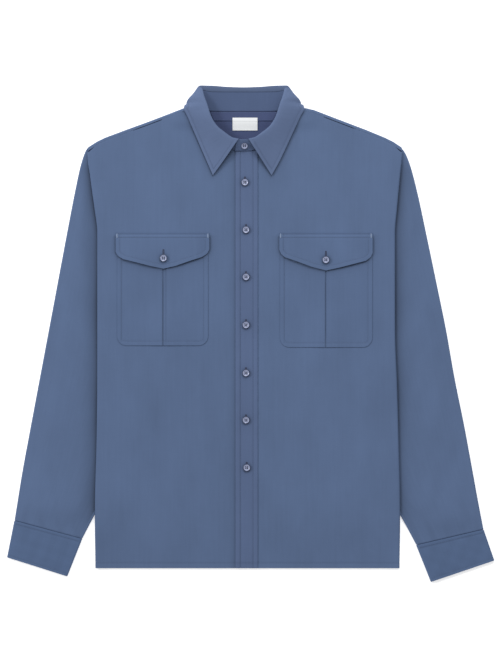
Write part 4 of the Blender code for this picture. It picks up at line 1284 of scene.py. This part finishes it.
def collar_fall():
    stations = collar_stations()
    count = len(stations)
    near = [0.0, 0.03, 0.08, 0.14, 0.2, 0.25, 0.3, 0.4, 0.5]
    at = spread(near + [count - 1.0 - n for n in reversed(near)], 0.16)
    route = np.stack([curve(range(count), stations[:, e, k])(at) for e in range(4) for k in range(3)], axis=1)
    seam, roll, crown, edge = (route[:, 3 * e : 3 * e + 3] for e in range(4))
    steps = np.concatenate([np.linspace(0.0, 0.8, 26), np.linspace(0.81, 1.0, 18)])
    t = steps[:, None, None]
    points = (1 - t) ** 3 * seam + 3 * (1 - t) ** 2 * t * roll + 3 * (1 - t) * t**2 * crown + t**3 * edge
    from_front = np.minimum(at, count - 1.0 - at)
    low_leaf = np.concatenate([points[::-2, 0, :2][::-1], points[-1, at < 6.5, :2][1:]])
    high_leaf = np.concatenate([points[::-2, -1, :2][::-1], points[-1, at > count - 7.5, :2][::-1][1:]])
    off = np.minimum(*(line_distance(points[..., 0], points[..., 1], leaf) for leaf in (low_leaf, high_leaf)))
    leaf = ease((6.8 - from_front) / 0.6)[None, :] * ease((t[..., 0] - 0.30) / 0.10)
    points[..., 2] += seam_dip(off, COLLAR_STITCH) * leaf
    # Painted shade in the stitching of the leaves and over the back roll of the fall
    back_roll = ease((from_front - 8.3) / 0.4)[None, :] * np.ones_like(off)
    shade = seam_shade(off, COLLAR_STITCH) * leaf + ROLL_SHADE * back_roll
    finishes = ("collar",)
    return sheet("collar_fall", points, grain_along(points), COLLAR_WALL, 0.0, finishes, shade)


def facing_top(x, y):
    return lift_at(x, y) + WALL + GAP


def neck_facing():
    ys = np.linspace(*FACING_Y, 8)
    t = (ys - FACING_Y[0]) / (FACING_Y[1] - FACING_Y[0])
    low = mix(FACING_BOTTOM[0], FACING_TOP[0], t)
    high = mix(FACING_BOTTOM[1], FACING_TOP[1], t)
    xs = mix(low[:, None], high[:, None], np.linspace(0.0, 1.0, 40)[None, :])
    points = grid(xs, np.broadcast_to(ys[:, None], xs.shape), facing_top)
    return sheet("neck_facing", points, grain_along(points), WALL, 1.0, ("inside",))


def label():
    step = FACING_Y[0]
    near = [LABEL_Y[0], step - 3.0, step - 1.2, step - 0.6, step + 0.6, LABEL_Y[1]]
    xs, ys = np.meshgrid(spread(list(LABEL_X), 2.0), spread(near, 1.6))

    def height(x, y):
        slope = mix(LABEL_RISE, LABEL_RISE_TOP, ease((y - LABEL_Y[0]) / LABEL_RISE_REACH))
        return facing_top(x, y) + np.where(y > step - 1.0, WALL + GAP, slope)

    points = grid(xs, ys, height)
    return sheet("label", points, plane_grain(points), LABEL_WALL, 1.0, ("label",))


# Stitching: one stitch is modelled, then laid along each seam on the finished cloth


def select_verts(obj, test):
    """In edit mode, selects the vertices that pass the test of their place."""
    bpy.ops.mesh.select_mode(type="VERT")
    bm = bmesh.from_edit_mesh(obj.data)
    for vert in bm.verts:
        vert.select_set(bool(test(vert.co)))
    bm.select_flush_mode()
    bmesh.update_edit_mesh(obj.data)


def select_faces(obj, test):
    bpy.ops.mesh.select_mode(type="FACE")
    bm = bmesh.from_edit_mesh(obj.data)
    for face in bm.faces:
        face.select_set(bool(test(face)))
    bm.select_flush_mode()
    bmesh.update_edit_mesh(obj.data)


def stitch_shape():
    """A thread one unit long on x that comes out of the cloth and goes back in."""
    bare()
    bpy.ops.mesh.primitive_cylinder_add(vertices=6, radius=0.5, depth=1.0, rotation=(0.0, math.pi / 2.0, 0.0))
    made = bpy.context.object
    bpy.ops.object.transform_apply(location=True, rotation=True, scale=True)
    bpy.ops.object.mode_set(mode="EDIT")
    for x in (-0.28, 0.28):
        bpy.ops.mesh.select_all(action="SELECT")
        bpy.ops.mesh.bisect(plane_co=(x, 0.0, 0.0), plane_no=(1.0, 0.0, 0.0))
    select_verts(made, lambda co: abs(co.x) > 0.4)
    bpy.ops.transform.resize(value=(1.0, 0.7, 0.7))
    bpy.ops.transform.translate(value=(0.0, 0.0, -0.7))
    bpy.ops.object.mode_set(mode="OBJECT")
    points = np.array([vert.co[:] for vert in made.data.vertices])
    faces = [list(polygon.vertices) for polygon in made.data.polygons]
    bpy.data.objects.remove(made)
    return points, faces


STITCH = stitch_shape()


def surface_of(*pieces):
    """Finds the top of the finished cloth under a place."""
    depsgraph = bpy.context.evaluated_depsgraph_get()
    trees = [BVHTree.FromObject(piece, depsgraph) for piece in pieces]

    def top(x, y):
        best = None
        for tree in trees:
            place, normal, _, _ = tree.ray_cast(Vector((x * MM, y * MM, 0.2)), Vector((0.0, 0.0, -1.0)))
            if place is not None and (best is None or place.z > best[0].z):
                best = (place, normal)
        return best

    return top


def thread_mesh(name, places, finish):
    """Copies of the stitch as one piece: each has a centre, a direction, an up and a size."""
    shape, shape_faces = STITCH
    points, faces = [], []
    for centre, along, up, long, across in places:
        aside = up.cross(along).normalized()
        up = along.cross(aside).normalized()
        frame_of = np.array([along[:], aside[:], up[:]])
        sized = shape * np.array([long, across, across]) * MM
        first = len(points) * len(shape)
        points.append(sized @ frame_of + np.array(centre[:]))
        faces += [[i + first for i in face] for face in shape_faces]
    mesh = bpy.data.meshes.new(name)
    mesh.from_pydata(np.concatenate(points).tolist(), [], faces)
    mesh.materials.append(FINISH[finish])
    mesh.shade_smooth()
    made = bpy.data.objects.new(name, mesh)
    bpy.context.scene.collection.objects.link(made)
    return keep(made)


def sew(name, pieces, routes, finish="thread", pitch=STITCH_PITCH, across=THREAD_ACROSS):
    """Stitches along routes of (x, y) places, laid on top of the pieces."""
    top = surface_of(*pieces)
    places = []
    for route in routes:
        route = np.array(route, float)
        legs = np.linalg.norm(np.diff(route, axis=0), axis=1)
        reach = np.concatenate([[0.0], np.cumsum(legs)])
        count = max(1, round(reach[-1] / pitch))
        step = reach[-1] / count
        for i in range(count):
            ends = []
            for share in (0.5 - 0.5 * STITCH_LONG / STITCH_PITCH, 0.5 + 0.5 * STITCH_LONG / STITCH_PITCH):
                s = (i + share) * step
                found = top(*(np.interp(s, reach, route[:, k]) for k in range(2)))
                if found:
                    ends.append(found)
            if len(ends) == 2:
                (a, up_a), (b, up_b) = ends
                along = (b - a).normalized()
                up = (up_a + up_b).normalized()
                centre = (a + b) / 2.0 + up * across * 0.15 * MM
                places.append((centre, along, up, (b - a).length / MM, across))
    return thread_mesh(name, places, finish)


def bar_tack(top, at, direction, long):
    """A short dense row of stitches across a seam's end."""
    places = []
    along = Vector((-direction[1], direction[0], 0.0)).normalized()
    for i in range(round(long / 0.55)):
        s = (i + 0.5) * 0.55 - long / 2.0
        found = top(at[0] + direction[0] * s, at[1] + direction[1] * s)
        if found:
            place, up = found
            places.append((place + up * 0.2 * MM, along, up, 1.9, 0.55))
    return places


# Buttons


def button_shape():
    """A turned four-hole button, its foot at the origin."""
    radius = BUTTON_ACROSS / 2.0 * MM
    bare()
    middle = (0.0, 0.0, BUTTON_THICK / 2.0 * MM)
    bpy.ops.mesh.primitive_cylinder_add(vertices=44, radius=radius, depth=BUTTON_THICK * MM, location=middle)
    made = bpy.context.object
    made.name = "button_shape"
    bpy.ops.object.transform_apply(location=True)
    bpy.ops.object.mode_set(mode="EDIT")
    select_faces(made, lambda face: face.normal.z < -0.9)
    bpy.ops.transform.resize(value=(0.8, 0.8, 1.0))
    select_faces(made, lambda face: face.normal.z > 0.9)
    bpy.ops.mesh.inset(thickness=BUTTON_RIM * MM, depth=0.0)
    bpy.ops.mesh.inset(thickness=0.9 * MM, depth=-BUTTON_DISH * MM)
    bpy.ops.object.mode_set(mode="OBJECT")
    rounding = made.modifiers.new("rounding", "BEVEL")
    rounding.width = 0.42 * MM
    rounding.segments = 4
    rounding.limit_method = "ANGLE"
    rounding.angle_limit = math.radians(20.0)
    apply_modifiers(made)
    drills = []
    for turn in (45.0, 135.0, 225.0, 315.0):
        bare()
        x, y = (HOLE_FROM_CENTRE * math.sqrt(2.0) * f(math.radians(turn)) * MM for f in (math.cos, math.sin))
        bpy.ops.mesh.primitive_cylinder_add(
            vertices=14, radius=HOLE_ACROSS / 2.0 * MM, depth=8.0 * MM, location=(x, y, 0.0)
        )
        drills.append(bpy.context.object)
    for drill in drills:
        hole = made.modifiers.new("hole", "BOOLEAN")
        hole.operation = "DIFFERENCE"
        hole.solver = "EXACT"
        hole.object = drill
        apply_modifiers(made)
        bpy.data.objects.remove(drill)
    only(made)
    bpy.ops.object.shade_smooth_by_angle(angle=math.radians(32.0))
    # The pale share of the button; its middle and its side get painted shade
    unshaded_share = made.data.attributes.new("unshaded_share", "FLOAT", "POINT")
    across = [vert.co.xy.length / radius for vert in made.data.vertices]
    pale = [ease((a - 0.16) / 0.16) * (1.0 - ease((a - 0.85) / 0.07)) for a in across]
    unshaded_share.data.foreach_set("value", [float(value) for value in pale])
    made.data.materials.append(FINISH["button"])
    return made


def buttonhole_shape():
    """A worked buttonhole: a rounded ring of close stitches round a slit."""
    bare()
    bpy.ops.mesh.primitive_torus_add(
        major_segments=16,
        minor_segments=6,
        major_radius=(BUTTONHOLE_WIDE - 1.1) / 2.0 * MM,
        minor_radius=0.55 * MM,
    )
    made = bpy.context.object
    made.name = "buttonhole_shape"
    bpy.ops.object.mode_set(mode="EDIT")
    bpy.ops.mesh.select_all(action="SELECT")
    bpy.ops.transform.resize(value=(1.0, 1.0, 0.6))
    for sign in (-1.0, 1.0):
        select_verts(made, lambda co: co.y * sign > 1e-6)
        bpy.ops.transform.translate(value=(0.0, sign * (BUTTONHOLE_LONG - BUTTONHOLE_WIDE) / 2.0 * MM, 0.0))
    bpy.ops.object.mode_set(mode="OBJECT")
    only(made)
    bpy.ops.object.shade_smooth_by_angle(angle=math.radians(60.0))
    made.data.materials.append(FINISH["thread_painted_dark"])
    return made


def copy_of(shape, name, place):
    mesh = shape.data.copy()
    mesh.name = name
    mesh.transform(place)
    made = bpy.data.objects.new(name, mesh)
    bpy.context.scene.collection.objects.link(made)
    return made


def foot_of(node_name):
    """Centre of a CAD button's foot, in metres."""
    low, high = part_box(node_name)
    return Vector(((low[0] + high[0]) / 2.0, (low[1] + high[1]) / 2.0, low[2]))


def buttons_shade(x, y, names):
    """Painted shadow: the cloth is painted darker round the foot of a button."""
    shade = 0.0
    for name in names:
        foot = foot_of(name) / MM
        shade = shade + beside(np.hypot(x - foot.x, y - foot.y) - BUTTON_ACROSS / 2.0, 0.34, 1.8, 0.05, 6.0)
    return shade


def collar_turn():
    foot, seam = STAND[0].foot, STAND[0].seam
    return math.atan2(seam[2] - foot[2], seam[1] - foot[1])


def buttons():
    shape, hole = button_shape(), buttonhole_shape()
    threads = []
    for node_name in (*FRONT_BUTTONS, *FLAP_BUTTONS, "button_collar"):
        if node_name == "button_collar":
            low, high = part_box(node_name)
            turn = Matrix.Rotation(collar_turn(), 4, "X")
            centre = (Vector(low) + Vector(high)) / 2.0
            place = Matrix.Translation(centre) @ turn @ Matrix.Translation((0.0, 0.0, -BUTTON_THICK / 2.0 * MM))
        else:
            place = Matrix.Translation(foot_of(node_name))
        made = copy_of(shape, node_name + "_pearl", place)
        keep(made)
        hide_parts(node_name)
        up = (place.to_3x3() @ Vector((0.0, 0.0, 1.0))).normalized()
        along = (place.to_3x3() @ Vector((0.0, 1.0, 0.0))).normalized()
        for x in (-HOLE_FROM_CENTRE, HOLE_FROM_CENTRE):
            centre = place @ (Vector((x, 0.0, BUTTON_THICK - BUTTON_DISH + 0.15)) * MM)
            threads.append((centre, along, up, 2.0 * HOLE_FROM_CENTRE + 0.9, 0.75))
            foot = place @ (Vector((x * 0.5, 0.0, -0.1)) * MM)
            threads.append((foot, along, up, 2.0, 0.9))
    thread_mesh("button_threads", threads, "thread_painted_dark")
    return shape, hole


def buttonholes(hole, placket_piece, flaps):
    for node_name in (*FRONT_BUTTONS, *FLAP_BUTTONS):
        foot = foot_of(node_name) / MM
        on_flap = node_name in FLAP_BUTTONS
        carriers = flaps if on_flap else (placket_piece,)
        y = foot.y + (7.6 if on_flap else 2.6)
        found = surface_of(*carriers)(foot.x, y)
        place = Matrix.Translation(found[0] + Vector((0.0, 0.0, 0.1 * MM)))
        keep(copy_of(hole, node_name + "_hole", place))


def stitching(pieces):
    low_front, high_front = pieces["front_right"], pieces["front_left"]
    band = pieces["placket"]
    band_routes = [[(x, HEM_Y + 1.0), (x, PLACKET_TOP_Y - 1.5)] for x in PLACKET_STITCH_X]
    band_routes.append([(PLACKET_X[0] + 1.5, HEM_Y + HEM_STITCH), (PLACKET_X[1] - 1.5, HEM_Y + HEM_STITCH)])
    sew("placket_stitching", (band,), band_routes)
    hem_y = HEM_Y + HEM_STITCH
    low_end, high_end = float(BODY_AT["low"](hem_y)) + 3.0, float(BODY_AT["high"](hem_y)) - 3.0
    sew("hem_stitching_right", (low_front,), [[(low_end, hem_y), (PLACKET_X[0] - 0.6, hem_y)]])
    sew("hem_stitching_left", (high_front,), [[(PLACKET_X[1] + 0.6, hem_y), (high_end, hem_y)]])
    for pocket, edge in zip(POCKETS, FLAP_EDGES):
        x0, x1 = pocket.low + POCKET_STITCH, pocket.high - POCKET_STITCH
        y0, r = pocket.bottom + POCKET_STITCH, pocket.corner - POCKET_STITCH
        arc = [math.radians(a) for a in (0, 22, 45, 67, 90)]
        route = [(x0, pocket.top)]
        route += [(x0 + r - r * math.cos(a), y0 + r - r * math.sin(a)) for a in arc]
        route += [(x1 - r + r * math.sin(a), y0 + r - r * math.cos(a)) for a in arc]
        route += [(x1, pocket.top)]
        sew(f"pocket_{pocket.name}_stitching", (pieces["pocket_" + pocket.name],), [route])
        around = [(edge[0].x, FLAP_TOP_Y), *edge, (edge[-1].x, FLAP_TOP_Y)]
        routes = [inset(around, FLAP_STITCH)]
        routes += [[(edge[0].x + 1.0, y), (edge[-1].x - 1.0, y)] for y in FLAP_TOP_STITCHES]
        flap_piece = pieces["flap_" + pocket.name]
        sew(f"flap_{pocket.name}_stitching", (flap_piece,), routes)
        top = surface_of(flap_piece)
        tacks = []
        for x in (edge[0].x + 2.2, edge[-1].x - 2.2):
            tacks += bar_tack(top, (x, FLAP_TOP_Y - 4.4), (0.0, 1.0), 6.6)
        thread_mesh(f"flap_{pocket.name}_tacks", tacks, "pale_thread")
    collar_stitching(pieces)
    cuff_stitching(pieces)
    shoulder_stitching(pieces)
    x0, x1 = LABEL_X[0] + 1.1, LABEL_X[1] - 1.1
    y0, y1 = LABEL_Y[0] + 1.1, LABEL_Y[1] - 1.1
    ring = [(x0, y0), (x1, y0), (x1, y1), (x0, y1), (x0, y0)]
    sew("label_stitching", (pieces["label"],), [ring], "white_thread", 2.4, 0.35)
    facing = [[(FACING_BOTTOM[0] + 1.0, FACING_Y[0] + 1.4), (LABEL_X[0] - 1.0, FACING_Y[0] + 1.4)]]
    facing.append([(LABEL_X[1] + 1.0, FACING_Y[0] + 1.4), (FACING_BOTTOM[1] - 1.0, FACING_Y[0] + 1.4)])
    facing.append([(FACING_TOP[0] + 2.0, FACING_Y[1] - 1.4), (FACING_TOP[1] - 2.0, FACING_Y[1] - 1.4)])
    sew("facing_stitching", (pieces["neck_facing"],), facing)


def collar_stitching(pieces):
    stations = collar_stations()
    edges = stations[:, 3, :2]
    low = [stations[0, 0, :2], edges[0], *edges[1:6]]
    high = [*edges[-6:-1], edges[-1], stations[-1, 0, :2]]
    routes = [inset(leaf, -COLLAR_STITCH) for leaf in (low, high)]
    fall, stand = pieces["collar_fall"], pieces["collar_stand"]
    sew("collar_stitching", (fall,), routes)
    band = [(mirrored(STAND[1].foot, 0.0)[0] - 1.6, 293.6), (STAND[1].foot[0] + 1.4, 293.6)]
    sew("band_stitching", (stand,), [band])


def cuff_stitching(pieces):
    for name, sections in (("cuff_right", CUFF_LOW), ("cuff_left", CUFF_HIGH)):
        routes = []
        outer = np.array([s.outer for s in sections], float)
        inner = np.array([s.inner for s in sections], float)
        long = np.linalg.norm(outer[-1] - outer[0])
        for share in (4.4 / long, 1.0 - 4.4 / long):
            a, b = mix(outer[0], outer[-1], share), mix(inner[0], inner[-1], share)
            along = (b - a) / np.linalg.norm(b - a)
            routes.append([a + along * 2.0, b - along * 2.0])
        sew(name + "_stitching", (pieces[name],), routes)


def shoulder_stitching(pieces):
    drop = SHOULDER_SEAM_DROP - 1.8
    low = [(x, float(shoulder_y(x)) - drop) for x in spread([-252.0, -108.0], 12.0)]
    high = [(x, float(shoulder_y(x)) - drop) for x in spread([88.0, 234.0], 12.0)]
    sew("shoulder_stitching", (pieces["yoke"],), [low, high])


# Floor, light and camera


def floor():
    bare()
    bpy.ops.mesh.primitive_plane_add(size=8.0, location=(0.0, 0.0, -0.5 * MM))
    made = bpy.context.object
    made.name = "floor"
    finish, tree, shader = principled("white_paper")
    shader.inputs["Base Color"].default_value = (0.94, 0.94, 0.94, 1.0)
    shader.inputs["Roughness"].default_value = 0.9
    shader.inputs["Emission Color"].default_value = (1.0, 1.0, 1.0, 1.0)
    shader.inputs["Emission Strength"].default_value = 0.45
    made.data.materials.append(finish)


def lights():
    world = bpy.data.worlds.new("studio")
    bpy.context.scene.world = world
    world.use_nodes = True
    sky = world.node_tree.nodes["Background"]
    sky.inputs["Color"].default_value = (1.0, 1.0, 1.0, 1.0)
    sky.inputs["Strength"].default_value = 0.50
    for name, place, size, power in (
        ("softbox_top", (0.35, 1.9, 2.2), 1.4, 42.0),
        ("softbox_side", (-3.6, 1.4, 3.0), 1.4, 84.0),
    ):
        data = bpy.data.lights.new(name, "AREA")
        data.shape = "SQUARE"
        data.size = size
        data.energy = power
        made = bpy.data.objects.new(name, data)
        made.location = place
        made.rotation_euler = (-Vector(place)).to_track_quat("-Z", "Y").to_euler()
        bpy.context.scene.collection.objects.link(made)


def camera():
    data = bpy.data.cameras.new("camera")
    data.lens = LENS
    data.sensor_fit = "VERTICAL"
    data.sensor_height = SENSOR
    data.clip_end = 50.0
    made = bpy.data.objects.new("camera", data)
    made.location = (FRAME_CENTRE[0] * MM, FRAME_CENTRE[1] * MM, FRAME_HIGH * MM * LENS / SENSOR)
    bpy.context.scene.collection.objects.link(made)
    bpy.context.scene.camera = made
    bpy.context.scene.view_settings.view_transform = "Standard"


def shirt():
    for name, side, sections in (("sleeve_right", "low", SLEEVE_LOW), ("sleeve_left", "high", SLEEVE_HIGH)):
        finishes = ("cloth", "inside")
        tube(name, sections, SLEEVE_THICK, WALL, finishes, sleeve_rise(side), sleeve_shade(side), sewn_in=True)
    tube("cuff_right", CUFF_LOW, CUFF_THICK, CUFF_WALL, ("cuff", "inside"), cuff_rise, cuff_shade)
    tube("cuff_left", CUFF_HIGH, CUFF_THICK, CUFF_WALL, ("cuff", "inside"), cuff_rise, cuff_shade)
    back()
    yoke()
    fronts()
    placket()
    for pocket, edge in zip(POCKETS, FLAP_EDGES):
        patch_pocket(pocket)
        flap(pocket, edge)
    neck_facing()
    label()
    collar_stand()
    collar_fall()
    pieces = {name: bpy.data.objects[name + "_cloth"] for name in CUTS}
    shape, hole = buttons()
    buttonholes(hole, pieces["placket"], (pieces["flap_right"], pieces["flap_left"]))
    for done in (shape, hole):
        bpy.data.objects.remove(done)
    stitching(pieces)


shirt()
floor()
lights()
camera()
